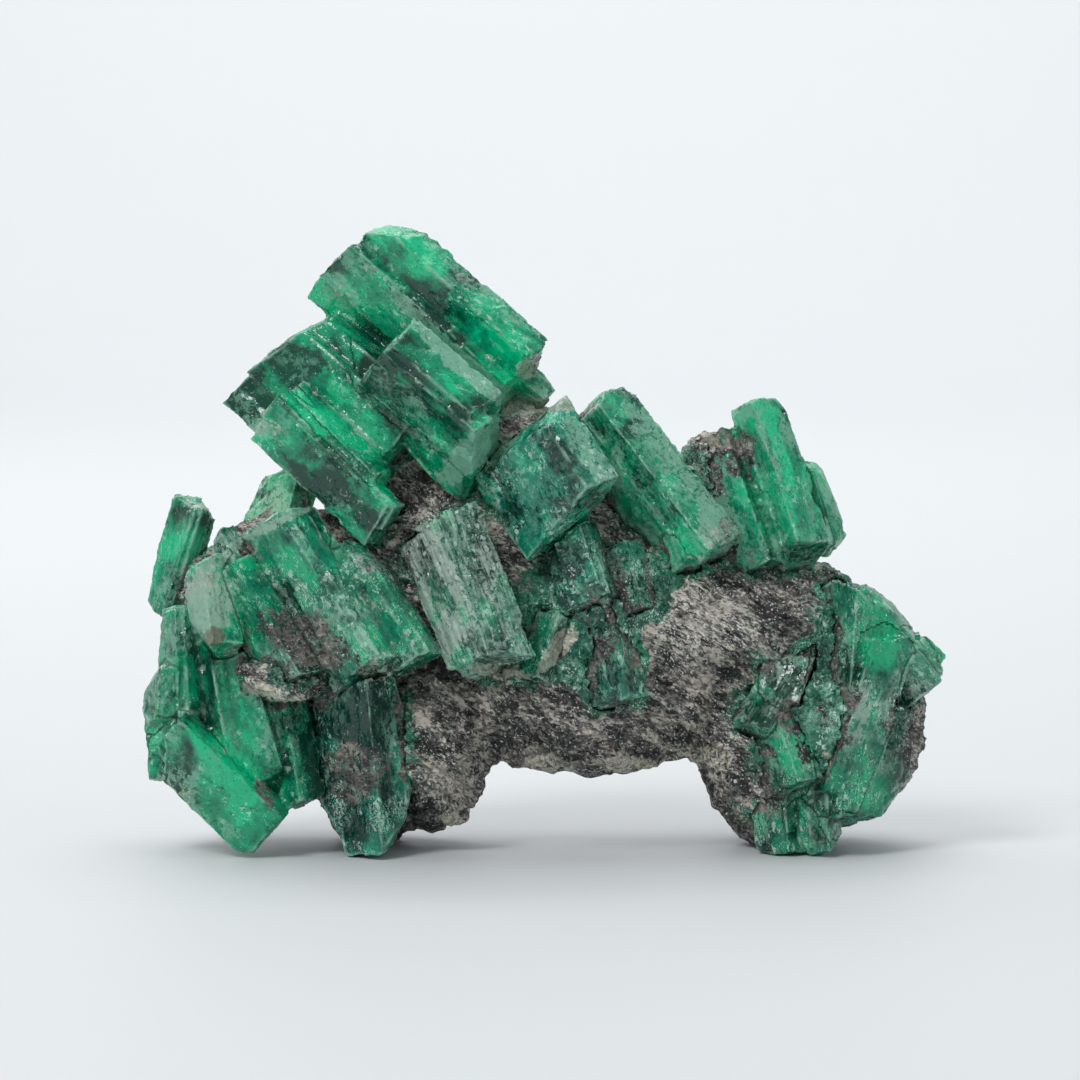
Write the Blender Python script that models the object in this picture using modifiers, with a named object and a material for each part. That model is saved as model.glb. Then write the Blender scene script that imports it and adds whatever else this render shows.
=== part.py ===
"""Emerald in matrix: intergrown green beryl prisms on a bridge of dark mica schist.

Run with:  blender --background --python part.py

The specimen stands on feet with an open arch between them. Its matrix is one solid, and each crystal,
or group of crystals grown through one another, is one solid seated in the matrix with a hairline gap.
Frame: metres, +Z up, the front towards -Y, and the origin at the centre of the base.
Sizes in the tables below are in millimetres.
"""

import math
import random
from typing import NamedTuple

import bmesh
import bpy
from mathutils import Matrix, Vector, noise

MM = 0.001
GAP = 0.35  # between a crystal and what it is seated in, mm
VOXEL = 2.0  # grain of the joined lumps of schist, mm
MATRIX_FACES = 4000

EMERALD = (0.004, 0.165, 0.085)
PALE_BERYL = (0.16, 0.38, 0.22)
SCHIST = (0.075, 0.072, 0.070)


class Prism(NamedTuple):
    """One beryl crystal: a six-sided prism between two points on its axis."""

    name: str
    start: tuple  # centre of its upper end
    end: tuple  # centre of its lower end
    sides: tuple  # distance from the axis to each prism face; the first looks forwards
    turn: float  # turns the prism about its axis, in degrees
    start_slant: tuple = (0.0, 0.0, 0.0)  # added to the axis, to tilt the upper end face
    end_slant: tuple = (0.0, 0.0, 0.0)
    steps: int = 1  # slimmer parallel prisms that grew with it
    breaks: tuple = ()  # lines (x, z, x, z) seen from the front, beyond which it is broken off


class Lump(NamedTuple):
    """One swelling of the schist: an ellipsoid."""

    centre: tuple
    radii: tuple
    lean: float = 0.0  # about the Y axis, in degrees


def even(width, depth):
    """Side distances of a prism of this width, seen from the front, and this depth."""
    slope = width * math.sqrt(3) / 4
    return (depth / 2, slope, slope, depth / 2, slope, slope)


# ---------------------------------------------------------------- the crystals

TOWER = (
    Prism("crown", (-36.6, 5, 121.2), (-4.2, -3, 92.4), (10, 14.0, 11.4, 10, 9.8, 13.2), 14,
          start_slant=(-0.1, 0, -0.18), end_slant=(0, -0.1, 0.05), steps=2,
          breaks=((-29.8, 125.9, -24.1, 126.1), (-23.9, 126.1, -14.2, 120.4),
                  (-46.9, 112.3, -45.4, 115.0), (3.2, 102.4, -1.2, 94.5))),
    Prism("left shoulder", (-54.4, 3, 98.5), (-29.8, -8, 78.4), (9, 11.7, 11.7, 9, 15, 15), -14,
          start_slant=(-0.05, 0, -0.1), steps=3,
          breaks=((-64.5, 90.6, -57.0, 100.3), (-56.2, 100.3, -48.5, 104.2),
                  (-49.3, 103.8, -42.4, 108.4))),
    Prism("centre", (-31.9, -12, 99.3), (-11.3, -16.3, 81.8), (9, 11.0, 10.4, 9, 10.2, 11.0), 20,
          start_slant=(0.05, 0, -0.05), end_slant=(0.12, -0.42, 0.1),
          breaks=((-38.0, 90.8, -37.2, 95.2), (-37.2, 94.6, -33.2, 99.0),
                  (-27.6, 82.9, -20.0, 73.7))),
    Prism("lower flank", (-54.6, -10, 87.6), (-31.3, -17, 66.3), even(11.5, 11), -12,
          end_slant=(0.1, -0.2, 0), steps=2, breaks=((-57.5, 83.7, -55.3, 87.7),)),
    Prism("flank ledge", (-50.3, -8, 91.3), (-32.2, -15, 74.4), even(9.5, 10), 8,
          end_slant=(0.1, 0, 0.1)),
    Prism("nub under the crown's foot", (-5.7, -3, 96.3), (1.2, -4, 90.7), even(8.5, 8), 25,
          breaks=((1.8, 94.7, 3.4, 91.9),)),
)
BLOCK = (
    Prism("block", (-4.0, -14, 84.3), (7.2, -20, 67.5), (10.5, 12.6, 10.6, 10.5, 10.4, 12.6), 14,
          start_slant=(0.1, 0, -0.1), end_slant=(0.1, -0.1, 0), steps=2,
          breaks=((-8.8, 67.7, -4.0, 61.3), (-2.0, 86.5, 1.0, 89.5), (7.6, 91.1, 10.0, 88.1))),
)
LEANING = (
    Prism("leaning prism", (10.5, -2, 89.4), (34.3, -13, 58.7), (8.8, 9.2, 8.4, 8.6, 8.0, 8.8), 22,
          start_slant=(-0.1, 0, 0.02), end_slant=(0, 0, -0.05), steps=2,
          breaks=((8.9, 87.6, 12.3, 92.5), (12.5, 92.5, 17.3, 93.9), (17.1, 93.9, 18.9, 92.5),
                  (41.3, 64.7, 42.7, 60.7))),
    Prism("stub at its foot", (24.9, -10, 70.9), (29.6, -17, 57.9), even(9, 8), 20),
)
RIGHT_RIDGE = (
    Prism("bright prism", (42.9, -2, 89.6), (53.0, -10, 59.2), even(13.5, 15), 20,
          start_slant=(-0.1, 0, -0.1), end_slant=(0, -0.3, 0.1), steps=2,
          breaks=((37.7, 88.4, 40.7, 90.2), (40.7, 90.2, 45.9, 91.6), (47.4, 91.4, 49.0, 89.6),
                  (37.7, 88.6, 39.5, 83.9))),
    Prism("crusted one behind it", (34.0, 0, 82.2), (43.7, -8, 56.3), even(13, 14), -10,
          start_slant=(0.1, 0, 0.1), steps=2, breaks=((29.1, 81.4, 31.5, 84.0),)),
    Prism("narrow one at its side", (53.9, 0, 77.9), (58.6, -6, 60.2), even(8.5, 10), 10,
          end_slant=(0, 0, 0.1),
          breaks=((53.5, 78.3, 57.4, 75.9), (57.0, 76.1, 60.8, 68.0), (60.8, 61.4, 58.4, 58.1))),
)
STRIATED = (
    Prism("grooved prism", (-20.4, -17, 66.7), (-9.5, -24, 39.2), even(20, 15), 22,
          start_slant=(0.1, 0, 0.05), end_slant=(-0.33, -0.1, -0.05), steps=3,
          breaks=((-28.5, 62.0, -25.5, 65.4),)),
)
LEFT_BLOCK = (
    Prism("block", (-52.9, -13, 66.7), (-33.6, -22, 37.0), even(17.5, 15), 8,
          start_slant=(-0.1, 0, -0.2), end_slant=(-0.2, -0.1, 0.1), steps=2),
    Prism("inner ridge", (-39.0, -14, 61.3), (-24.5, -21, 38.7), even(12.5, 14), -14,
          start_slant=(-0.2, 0, 0.1), end_slant=(-0.2, 0, 0.1),
          breaks=((-37.5, 63.2, -30.5, 58.2),)),
    Prism("outer ridge", (-61.5, -13, 56.6), (-47.8, -20, 34.9), even(13, 13), 12,
          start_slant=(0.1, 0, 0.1), end_slant=(-0.2, 0, 0)),
    Prism("cream-green lobe", (-66.6, -12, 59.0), (-63.8, -19, 41.2), even(12, 14), 24,
          breaks=((-71.6, 53.6, -70.0, 58.0), (-70.4, 57.6, -66.8, 59.6),
                  (-71.4, 52.8, -70.0, 46.8), (-70.2, 47.2, -65.6, 40.8))),
    Prism("chip on top", (-64.1, -10, 64.1), (-60.0, -14, 55.5), even(6.8, 8), 10,
          start_slant=(0.1, 0, 0), breaks=((-67.6, 60.6, -64.0, 64.8),)),
)
LEFT_POINT = (
    Prism("left point", (-69.5, 0, 69.8), (-76.6, 4, 47.4), even(10.8, 11), 20,
          breaks=((-70.6, 71.1, -64.1, 66.3), (-79.7, 51.5, -78.7, 58.8),
                  (-79.9, 51.5, -78.7, 47.6))),
)
BACK_LEFT = (
    Prism("clear prism behind", (-51.1, 12, 74.8), (-54.9, 6, 60.7), even(14, 13), 12,
          breaks=((-60.2, 67.2, -56.5, 74.8), (-56.9, 74.8, -52.2, 75.8))),
)
LEFT_FOOT = (
    Prism("bright prism", (-74.8, -17, 24.0), (-54.0, -20, 4.5), even(14.6, 13), -13,
          start_slant=(0.1, 0, 0.1),
          breaks=((-68.4, 5.5, -57.2, 0.5), (-57.6, 0.7, -52.7, 2.5), (-75.5, 14.0, -68.0, 5.1),
                  (-75.1, 18.0, -75.5, 13.6))),
    Prism("upper rim", (-73.0, -8, 49.0), (-71.9, -13, 25.4), even(9.6, 12), 15, steps=2,
          breaks=((-77.7, 38.8, -76.7, 45.8),)),
    Prism("outer rim", (-75.0, -12, 36.5), (-76.2, -15, 26.0), even(9, 11), 20,
          breaks=((-80.5, 30.7, -77.7, 35.5), (-80.5, 30.7, -78.9, 26.6))),
    Prism("outer rim, lower", (-75.3, -13, 26.6), (-74.5, -16, 15.3), even(8, 10), -18,
          breaks=((-79.6, 25.7, -76.8, 21.5),)),
    Prism("core", (-66.2, -4, 44.6), (-60.3, -9, 12.2), even(22.4, 21.6), 28,
          start_slant=(0.2, 0, 0), end_slant=(0.2, -0.2, 0),
          breaks=((-76.0, 45.0, -78.0, 30.0), (-77.0, 22.0, -70.0, 11.0))),
    Prism("dark faceted, outer", (-63.6, -10, 37.9), (-55.5, -16, 13.4), even(16, 15), -14,
          end_slant=(0.2, -0.2, 0), steps=2),
    Prism("dark faceted, inner", (-52.2, -11, 32.0), (-48.4, -16, 10.1), even(12, 13), 13,
          end_slant=(0.2, 0, 0), breaks=((-53.7, 10.2, -43.7, 7.4),)),
)
SECOND_FOOT = (
    Prism("second foot", (-37.6, -15, 35.6), (-34.3, -17, 0.4), even(20, 18), 10, steps=3,
          breaks=((-45.6, 13.3, -38.4, 1.3), (-35.2, -0.1, -28.8, 2.1), (-29.2, 2.1, -24.4, 12.9),
                  (-28.4, 33.3, -24.2, 20.9))),
)
RIGHT_FOOT = (
    Prism("mass", (62.5, -3, 52.0), (59.0, -8, 5.0), even(31, 33), 18,
          start_slant=(-0.5, 0, 0.1), end_slant=(0.2, -0.1, 0), steps=2,
          breaks=((66.0, 53.4, 73.0, 45.0), (73.0, 46.0, 79.0, 36.0), (47.0, 44.0, 56.0, 52.0),
                  (44.0, 14.0, 46.0, 5.0), (77.6, 19.0, 70.0, 8.0), (71.0, 9.0, 58.0, 2.4))),
    Prism("rim prism", (61.2, -7, 50.4), (76.7, -11, 31.0), even(15.6, 18), -17,
          start_slant=(-0.2, 0, 0.1), steps=2,
          breaks=((62.2, 53.9, 64.8, 54.3), (64.6, 54.3, 69.8, 50.6), (81.1, 38.6, 77.7, 30.9))),
    Prism("point at the rim", (73.6, -6, 41.4), (79.6, -8, 36.0), even(8.4, 10), 4,
          breaks=((81.1, 38.1, 78.1, 31.2),)),
    Prism("leaning face", (67.5, -12, 43.0), (58.0, -16, 10.0), even(18, 17), 34,
          start_slant=(0.3, 0, 0), end_slant=(-0.2, -0.3, 0), steps=2),
    Prism("tip", (54.4, -14, 18.0), (55.9, -17, 0.2), even(10.5, 11), 0,
          breaks=((51.7, 3.8, 55.3, -0.2), (55.9, -0.0, 60.3, 4.0))),
    Prism("bright patch", (46.2, -16, 27.5), (50.7, -20, 13.8), even(13, 11), 21,
          start_slant=(0, -0.4, 0), breaks=((41.8, 23.7, 44.6, 27.5),)),
    Prism("dark face, upper", (51.5, -13, 42.6), (47.2, -18, 30.4), even(11, 9), -16,
          end_slant=(0, -0.3, 0)),
    Prism("dark face, lower", (48.1, -14, 34.4), (43.2, -19, 25.3), even(11, 10), 24),
    Prism("inner toe", (47.4, -12, 16.1), (48.4, -15, 0.0), even(11.5, 12), 10,
          breaks=((40.8, 3.5, 44.8, 0.3),)),
)
SMALL_FRONT = (
    Prism("dark oval under the block", (5.2, -14, 65.5), (10.4, -20, 50.4), even(13, 11), -12),
    Prism("right of it", (16.4, -14, 62.1), (19.9, -19, 48.7), even(9, 9), 12),
    Prism("lowest", (11.6, -16, 49.3), (16.3, -21, 31.0), even(12, 10), 12),
)
SMALL_LEFT = (
    Prism("little one", (3.2, -17, 48.6), (-1.6, -21, 35.8), even(8, 8), 16),
)
BACK_TALL = (
    Prism("tall back", (-8.0, 20, 74.0), (2.0, 12, 50.0), even(16, 14), 18, steps=2),
    Prism("its neighbour", (-17.0, 18, 66.0), (-8.0, 12, 48.0), even(12, 12), -6),
)
BACK_LOW = (
    Prism("low back", (-44.0, 27, 38.0), (-50.0, 17, 17.0), even(15, 13), 8, steps=2),
)
BACK_RIGHT = (
    Prism("right back", (48.0, 25, 47.0), (58.0, 15, 25.0), even(17, 15), -12, steps=2),
    Prism("its neighbour", (37.0, 22, 38.0), (44.0, 15, 24.0), even(10, 10), 10),
)

# Where two groups would meet, the later one in this table is cut back to leave the gap.
CRYSTALS = {
    "tower_crystals": (TOWER, EMERALD),
    "block_crystal": (BLOCK, EMERALD),
    "striated_crystal": (STRIATED, EMERALD),
    "left_block_crystals": (LEFT_BLOCK, PALE_BERYL),
    "leaning_crystal": (LEANING, EMERALD),
    "right_ridge_crystals": (RIGHT_RIDGE, EMERALD),
    "left_point_crystal": (LEFT_POINT, EMERALD),
    "back_left_crystal": (BACK_LEFT, PALE_BERYL),
    "left_foot_crystals": (LEFT_FOOT, EMERALD),
    "second_foot_crystal": (SECOND_FOOT, EMERALD),
    "right_foot_crystals": (RIGHT_FOOT, PALE_BERYL),
    "small_front_crystals": (SMALL_FRONT, EMERALD),
    "small_left_crystal": (SMALL_LEFT, PALE_BERYL),
    "back_tall_crystals": (BACK_TALL, EMERALD),
    "back_low_crystal": (BACK_LOW, EMERALD),
    "back_right_crystals": (BACK_RIGHT, EMERALD),
}

# ------------------------------------------------------------------ the schist

LUMPS = (
    Lump((49, 2, 21), (17.5, 22, 21.5)),  # right foot
    Lump((57, 2, 26), (21.5, 25, 20.5)),  # its outer belly
    Lump((61, 0, 42), (15, 17, 10), 42),  # its shoulder
    Lump((42, 0, 46), (24, 20, 13)),
    Lump((18, 0, 46), (30, 22, 21)),  # body over the arch
    Lump((12, 0, 31.5), (33, 21, 16.8)),  # arch bar
    Lump((15, 5, 65), (17, 12, 12)),
    Lump((-22, 0, 22), (12, 20, 18.5)),  # left foot, inner lobe
    Lump((-34, 6, 20), (13, 21, 20.5)),
    Lump((-57, 5, 28), (18, 18, 18)),
    Lump((-44, 0, 50), (28, 18, 19)),
    Lump((-50, -16, 36), (11, 9, 5.2), 8),  # ledge under the left block
    Lump((-14, 0, 58), (26, 17, 19)),
    Lump((-29, 3, 82), (15, 10, 20), -40),  # core of the tower
    Lump((-1, -3, 82), (14, 7, 8)),  # saddle between tower and leaning crystal
    Lump((35, 0, 75), (7, 7, 9)),
)


def clear_scene():
    """Starts from an empty scene."""
    for old in list(bpy.data.objects):
        bpy.data.objects.remove(old, do_unlink=True)


def collection(name, helper=False):
    """A new collection in the scene; helpers are left out of the render."""
    made = bpy.data.collections.new(name)
    bpy.context.scene.collection.children.link(made)
    made.hide_render = helper
    return made


def stone_material(name, colour, roughness):
    """A plain stone finish."""
    made = bpy.data.materials.new(name)
    made.use_nodes = True
    shader = made.node_tree.nodes["Principled BSDF"]
    shader.inputs["Base Color"].default_value = (*colour, 1.0)
    shader.inputs["Roughness"].default_value = roughness
    shader.inputs["Metallic"].default_value = 0.0
    made.diffuse_color = (*colour, 1.0)
    return made


def object_from(bm, name, home):
    """A mesh object made from a bmesh, linked to one collection."""
    mesh = bpy.data.meshes.new(name)
    bm.to_mesh(mesh)
    bm.free()
    made = bpy.data.objects.new(name, mesh)
    home.objects.link(made)
    return made


def as_helper(obj):
    """Marks a cutter or a guide, which isn't part of the object."""
    obj.hide_render = True
    obj.display_type = "WIRE"
    return obj


def prism_frame(prism):
    """The prism's axis, the direction its first face looks and the one to its left side."""
    axis = (Vector(prism.end) - Vector(prism.start)).normalized()
    front = Vector((0, -1, 0))
    front = (front - front.dot(axis) * axis).normalized()
    return axis, front, axis.cross(front)


def prism_corners(sides, turn, front, left):
    """The six corners of the cross-section, each where two neighbouring faces meet."""
    sixth = math.pi / 3
    corners = []
    for k in range(6):
        near, far = sides[k], sides[(k + 1) % 6]
        along = (far - near * math.cos(sixth)) / math.sin(sixth)
        angle = math.radians(turn) + k * sixth
        normal = math.cos(angle) * front + math.sin(angle) * left
        tangent = -math.sin(angle) * front + math.cos(angle) * left
        corners.append(near * normal + along * tangent)
    return corners


def prism_mesh(prism, extra=0.0):
    """A bmesh of the prism; extra moves every face outwards, in mm."""
    axis, front, left = prism_frame(prism)
    sides = [s + extra for s in prism.sides]
    corners = prism_corners(sides, prism.turn, front, left)
    ends = (
        (Vector(prism.start) - extra * axis, (axis + Vector(prism.start_slant)).normalized()),
        (Vector(prism.end) + extra * axis, (axis + Vector(prism.end_slant)).normalized()),
    )
    bm = bmesh.new()
    bmesh.ops.create_cone(bm, cap_ends=True, segments=6, radius1=1, radius2=1, depth=2)
    for vertex in bm.verts:
        k = round(math.atan2(vertex.co.y, vertex.co.x) / (math.pi / 3)) % 6
        centre, normal = ends[0] if vertex.co.z < 0 else ends[1]
        corner = Vector(prism.start) + corners[k]
        slide = (centre - corner).dot(normal) / axis.dot(normal)
        vertex.co = corner + slide * axis
    for line in prism.breaks:
        point, normal = break_plane(prism, line)
        break_off(bm, point + extra * normal, normal)
    face_outwards(bm)
    bmesh.ops.scale(bm, vec=(MM, MM, MM), verts=bm.verts)
    return bm


def face_outwards(bm):
    """Turns every face outwards."""
    bmesh.ops.recalc_face_normals(bm, faces=bm.faces)
    if bm.calc_volume(signed=True) < 0:
        bmesh.ops.reverse_faces(bm, faces=bm.faces)


def break_off(bm, point, normal):
    """Cuts off what lies beyond a plane, and closes the break with flat faces."""
    bmesh.ops.bisect_plane(
        bm,
        geom=bm.verts[:] + bm.edges[:] + bm.faces[:],
        plane_co=point,
        plane_no=normal,
        clear_outer=True,
    )
    rim = [edge for edge in bm.edges if edge.is_boundary]
    bmesh.ops.holes_fill(bm, edges=rim, sides=0)


def break_plane(prism, line):
    """The point and outward normal of a break: along its line, and leaning a little back or forth."""
    dice = random.Random(f"{prism.name} {line}")
    x1, z1, x2, z2 = line
    middle = (Vector(prism.start) + Vector(prism.end)) / 2
    point = Vector(((x1 + x2) / 2, middle.y, (z1 + z2) / 2))
    normal = Vector((z2 - z1, 0, x1 - x2)).normalized()
    if normal.dot(middle - point) > 0:
        normal = -normal
    normal.y = dice.uniform(-0.22, 0.22)
    return point, normal.normalized()


def grown(prism, seed):
    """The prism and the slimmer parallel ones that grew with it and give it its ledges."""
    dice = random.Random(seed)
    axis, front, left = prism_frame(prism)
    span = min(prism.sides)
    family = [prism]
    for step in range(prism.steps):
        share = dice.uniform(0.42, 0.66)
        aim = math.radians(prism.turn + 60 * dice.randrange(6) + dice.uniform(-20, 20))
        out = math.cos(aim) * front + math.sin(aim) * left
        shift = out * (span * (1 - share) + dice.uniform(0.2, 0.9))
        grow_start, grow_end = dice.uniform(-1.6, 1.1), dice.uniform(-2.4, 0.9)
        family.append(
            prism._replace(
                name=f"{prism.name} step {step}",
                start=tuple(Vector(prism.start) + shift - grow_start * axis),
                end=tuple(Vector(prism.end) + shift + grow_end * axis),
                sides=tuple(s * share for s in prism.sides),
                turn=prism.turn + dice.uniform(-4, 4),
            )
        )
    return family


def applied(obj):
    """Makes what the modifiers show the object's own mesh."""
    graph = bpy.context.evaluated_depsgraph_get()
    mesh = bpy.data.meshes.new_from_object(obj.evaluated_get(graph))
    obj.modifiers.clear()
    obj.data = mesh
    return obj


def box_of(objects):
    """The low and high corner of the box round some objects."""
    corners = [vertex.co for obj in objects for vertex in obj.data.vertices]
    low = Vector(min(c[i] for c in corners) for i in range(3))
    return low, Vector(max(c[i] for c in corners) for i in range(3))


def boxes_meet(obj, others):
    """True if the object's box overlaps that of the others."""
    (low, high), (other_low, other_high) = box_of([obj]), box_of(others)
    return all(low[i] < other_high[i] and other_low[i] < high[i] for i in range(3))


def boolean(obj, operation, others):
    """Joins or cuts the object with every mesh of a collection."""
    if not boxes_meet(obj, others.objects):
        return
    modifier = obj.modifiers.new(operation.title(), "BOOLEAN")
    modifier.operation = operation
    modifier.solver = "EXACT"
    modifier.operand_type = "COLLECTION"
    modifier.collection = others
    applied(obj)
    bm = bmesh.new()
    bm.from_mesh(obj.data)
    bmesh.ops.triangulate(bm, faces=bm.faces)
    bmesh.ops.dissolve_degenerate(bm, dist=0.0000003, edges=bm.edges)
    bm.to_mesh(obj.data)
    bm.free()


def keep_largest_body(obj):
    """Drops the crumbs that a cut leaves beside the main body."""
    bm = bmesh.new()
    bm.from_mesh(obj.data)
    bmesh.ops.remove_doubles(bm, verts=bm.verts, dist=0.000001)
    unseen, bodies = set(bm.verts), []
    while unseen:
        body, edge_of_search = set(), [unseen.pop()]
        while edge_of_search:
            vertex = edge_of_search.pop()
            body.add(vertex)
            near = {e.other_vert(vertex) for e in vertex.link_edges} & unseen
            unseen -= near
            edge_of_search.extend(near)
        bodies.append(body)
    bodies.sort(key=len)
    crumbs = [vertex for body in bodies[:-1] for vertex in body]
    bmesh.ops.delete(bm, geom=crumbs, context="VERTS")
    bm.to_mesh(obj.data)
    bm.free()


def helper_prisms(name, prisms, extra=0.0):
    """The prisms as meshes of their own in a collection that isn't rendered.

    Each is a hair bigger than the one before it, so that no two of them share a wall.
    """
    helpers = collection(name, helper=True)
    for i, prism in enumerate(prisms):
        as_helper(object_from(prism_mesh(prism, extra + 0.013 * i), f"{name} {i}", helpers))
    return helpers


def crystal_group(name, prisms, home, earlier):
    """One group of intergrown crystals as one solid, cut back from the groups before it.

    Returns the solid, and the swollen prisms that cut its seat.
    """
    members = [p for i, prism in enumerate(prisms) for p in grown(prism, f"{name} {i}")]
    body = object_from(prism_mesh(members[0]), name, home)
    boolean(body, "UNION", helper_prisms(f"{name} growth", members[1:]))
    for cutters in earlier:
        boolean(body, "DIFFERENCE", cutters)
    return body, helper_prisms(f"{name} seat", members, GAP)


def lump_mesh(lump):
    """An ellipsoid of schist."""
    bm = bmesh.new()
    bmesh.ops.create_icosphere(bm, subdivisions=4, radius=1)
    place = (
        Matrix.Translation(Vector(lump.centre) * MM)
        @ Matrix.Rotation(math.radians(lump.lean), 4, "Y")
        @ Matrix.Diagonal((*(r * MM for r in lump.radii), 1))
    )
    bmesh.ops.transform(bm, matrix=place, verts=bm.verts)
    return bm


def roughen(obj):
    """Gives the schist its knobs, hollows and slanting cleavage ledges."""
    bm = bmesh.new()
    bm.from_mesh(obj.data)
    bm.normal_update()
    for vertex in bm.verts:
        p = vertex.co / MM
        knobs = noise.fractal(p / 13, 1.0, 2.0, 3)
        chunks = noise.voronoi(p / 8)[0]
        chunk = chunks[1] - chunks[0]
        ledge = noise.noise(Vector((p.x / 22, p.y / 9, (p.z + 0.35 * p.x) / 3.2)))
        swell = 1.9 * knobs + 1.1 * min(chunk, 0.5) + 0.75 * ledge - 0.3
        vertex.co += vertex.normal * swell * MM
    bm.to_mesh(obj.data)
    bm.free()


def schist_matrix(home, cutters):
    """The whole matrix as one solid, with a seat for every crystal."""
    bm = bmesh.new()
    for lump in LUMPS:
        part = lump_mesh(lump)
        part_mesh = bpy.data.meshes.new("lump")
        part.to_mesh(part_mesh)
        part.free()
        bm.from_mesh(part_mesh)
        bpy.data.meshes.remove(part_mesh)
    matrix = object_from(bm, "schist_matrix", home)
    joined = matrix.modifiers.new("Joined", "REMESH")
    joined.mode = "VOXEL"
    joined.voxel_size = VOXEL * MM
    applied(matrix)
    roughen(matrix)
    lighter = matrix.modifiers.new("Lighter", "DECIMATE")
    lighter.ratio = MATRIX_FACES / (2 * len(matrix.data.polygons))
    applied(matrix)
    for group in cutters:
        boolean(matrix, "DIFFERENCE", group)
    keep_largest_body(matrix)
    return matrix


def wear_flat(obj):
    """Wears away what reaches below the floor, which leaves a flat spot on each foot."""
    bm = bmesh.new()
    bm.from_mesh(obj.data)
    break_off(bm, Vector((0, 0, 0)), Vector((0, 0, -1)))
    face_outwards(bm)
    bm.to_mesh(obj.data)
    bm.free()


def centre(bodies):
    """Moves all of it so that the middle of its bounding box stands over the origin."""
    low, high = box_of(bodies)
    shift = Vector((-(low.x + high.x) / 2, -(low.y + high.y) / 2, -low.z))
    for body in bodies:
        body.data.transform(Matrix.Translation(shift))


def main():
    """Builds every crystal group and the matrix that carries them."""
    clear_scene()
    home = collection("emerald_in_matrix")
    bodies, cutters = [], []
    for name, (prisms, colour) in CRYSTALS.items():
        body, own = crystal_group(name, prisms, home, cutters)
        body.data.materials.clear()
        body.data.materials.append(stone_material(name, colour, 0.3))
        bodies.append(body)
        cutters.append(own)
    matrix = schist_matrix(home, cutters)
    matrix.data.materials.clear()
    matrix.data.materials.append(stone_material("schist", SCHIST, 0.75))
    bodies.append(matrix)
    for body in bodies:
        wear_flat(body)
        keep_largest_body(body)
    centre(bodies)


main()
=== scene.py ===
"""The looks of an emerald specimen: green beryl prisms grown through one another on dark mica schist.

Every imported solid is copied, given a fine skin, and worked over as stone: prisms get growth grooves,
plates, chips and flecks that run along their own axis, and the schist gets cleavage ledges and grain.
Stains, such as a pale veil or a feldspar crust, are painted as soft masks that the finishes read.
Sizes are in millimetres until a mesh is written, and in metres after that.
"""

import itertools
import logging
import math
from dataclasses import dataclass, field
from enum import Enum

import bmesh
import bpy
import numpy as np
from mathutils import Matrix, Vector, noise
from mathutils.bvhtree import BVHTree
from mathutils.kdtree import KDTree

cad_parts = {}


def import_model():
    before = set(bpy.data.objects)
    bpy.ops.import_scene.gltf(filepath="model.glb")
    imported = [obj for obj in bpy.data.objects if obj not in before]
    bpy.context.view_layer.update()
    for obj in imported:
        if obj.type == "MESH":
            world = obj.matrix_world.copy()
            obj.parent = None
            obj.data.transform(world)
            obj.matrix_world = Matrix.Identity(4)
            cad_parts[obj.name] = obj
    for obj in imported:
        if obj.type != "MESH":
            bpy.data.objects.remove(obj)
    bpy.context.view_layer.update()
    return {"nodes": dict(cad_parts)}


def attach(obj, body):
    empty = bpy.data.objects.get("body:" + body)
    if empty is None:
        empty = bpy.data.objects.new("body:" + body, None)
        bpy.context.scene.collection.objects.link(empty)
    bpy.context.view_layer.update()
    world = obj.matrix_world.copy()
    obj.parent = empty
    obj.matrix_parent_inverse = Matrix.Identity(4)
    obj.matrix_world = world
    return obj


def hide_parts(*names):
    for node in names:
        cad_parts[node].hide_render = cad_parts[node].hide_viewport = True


LOG = logging.getLogger("emerald")
MM = 0.001
BODY = "root"
# From the drawing in which the prisms' axes and the stains are measured to the row's own frame.
DRAWING_TO_ROW = np.array((-0.88, -0.45, 0.0))
FRONT_PLANE = -15.0  # the depth at which the stains' places hold
CAMERA_RISE = math.radians(4)
CAMERA_DISTANCE = 1200.0  # mm
LEAST_EDGE = 0.35  # the smallest angle between two faces that makes an edge, radians
EDGE_STEP = 0.5  # between the points along an edge, mm
FAR = 1e6  # mm, beyond everything
BERYL_IOR = 1.57
MOST_STAIN = 1.2  # what a painted stain is clipped to
MOST_DEPTH = 2.0  # the same for haze and for dark, thick beryl
SHARPEST_SMOOTHED = math.radians(34)  # a larger angle between two faces is shaded as an edge


class Slot(Enum):
    """The material slots."""

    EMERALD = "emerald"
    PALE = "pale_beryl"
    SCHIST = "schist"


class Stain(Enum):
    """What can lie in or on the stone, and the painted glow and painted shade. Each is an attribute of the
    same name on the mesh, 0 for none.
    """

    BRIGHT = "bright"  # clear, saturated beryl, and painted glow where light shines through it
    DEEP = "deep"  # dark, thick beryl, and painted shade on faces turned from the light and in inner corners
    VEIL = "veil"  # milky haze of inclusions
    ROCK = "rock"  # schist on beryl, or the lack of it on schist
    PALE = "pale"  # light quartz and mica grains in the schist
    CREAM = "cream"  # feldspar
    RUST = "rust"  # iron stain


BRIGHT, DEEP, VEIL, ROCK = Stain.BRIGHT, Stain.DEEP, Stain.VEIL, Stain.ROCK
PALE, CREAM, RUST = Stain.PALE, Stain.CREAM, Stain.RUST


@dataclass(frozen=True)
class Patch:
    """One soft-edged stain, painted glow or painted shade, as seen from the front.

    Attributes:
        stain: What it is.
        at: Its middle (x, z) in the drawing, mm.
        radii: Half its length and half its width, mm.
        lean: How far its length dips to the right, degrees.
        strength: How much of it there is; negative takes it away.
    """

    stain: Stain
    at: tuple[float, float]
    radii: tuple[float, float]
    lean: float
    strength: float


@dataclass(frozen=True)
class Axis:
    """The axis of one prism, from its upper to its lower end, and how thick the prism is, mm."""

    start: tuple[float, float, float]
    end: tuple[float, float, float]
    radius: float


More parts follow.
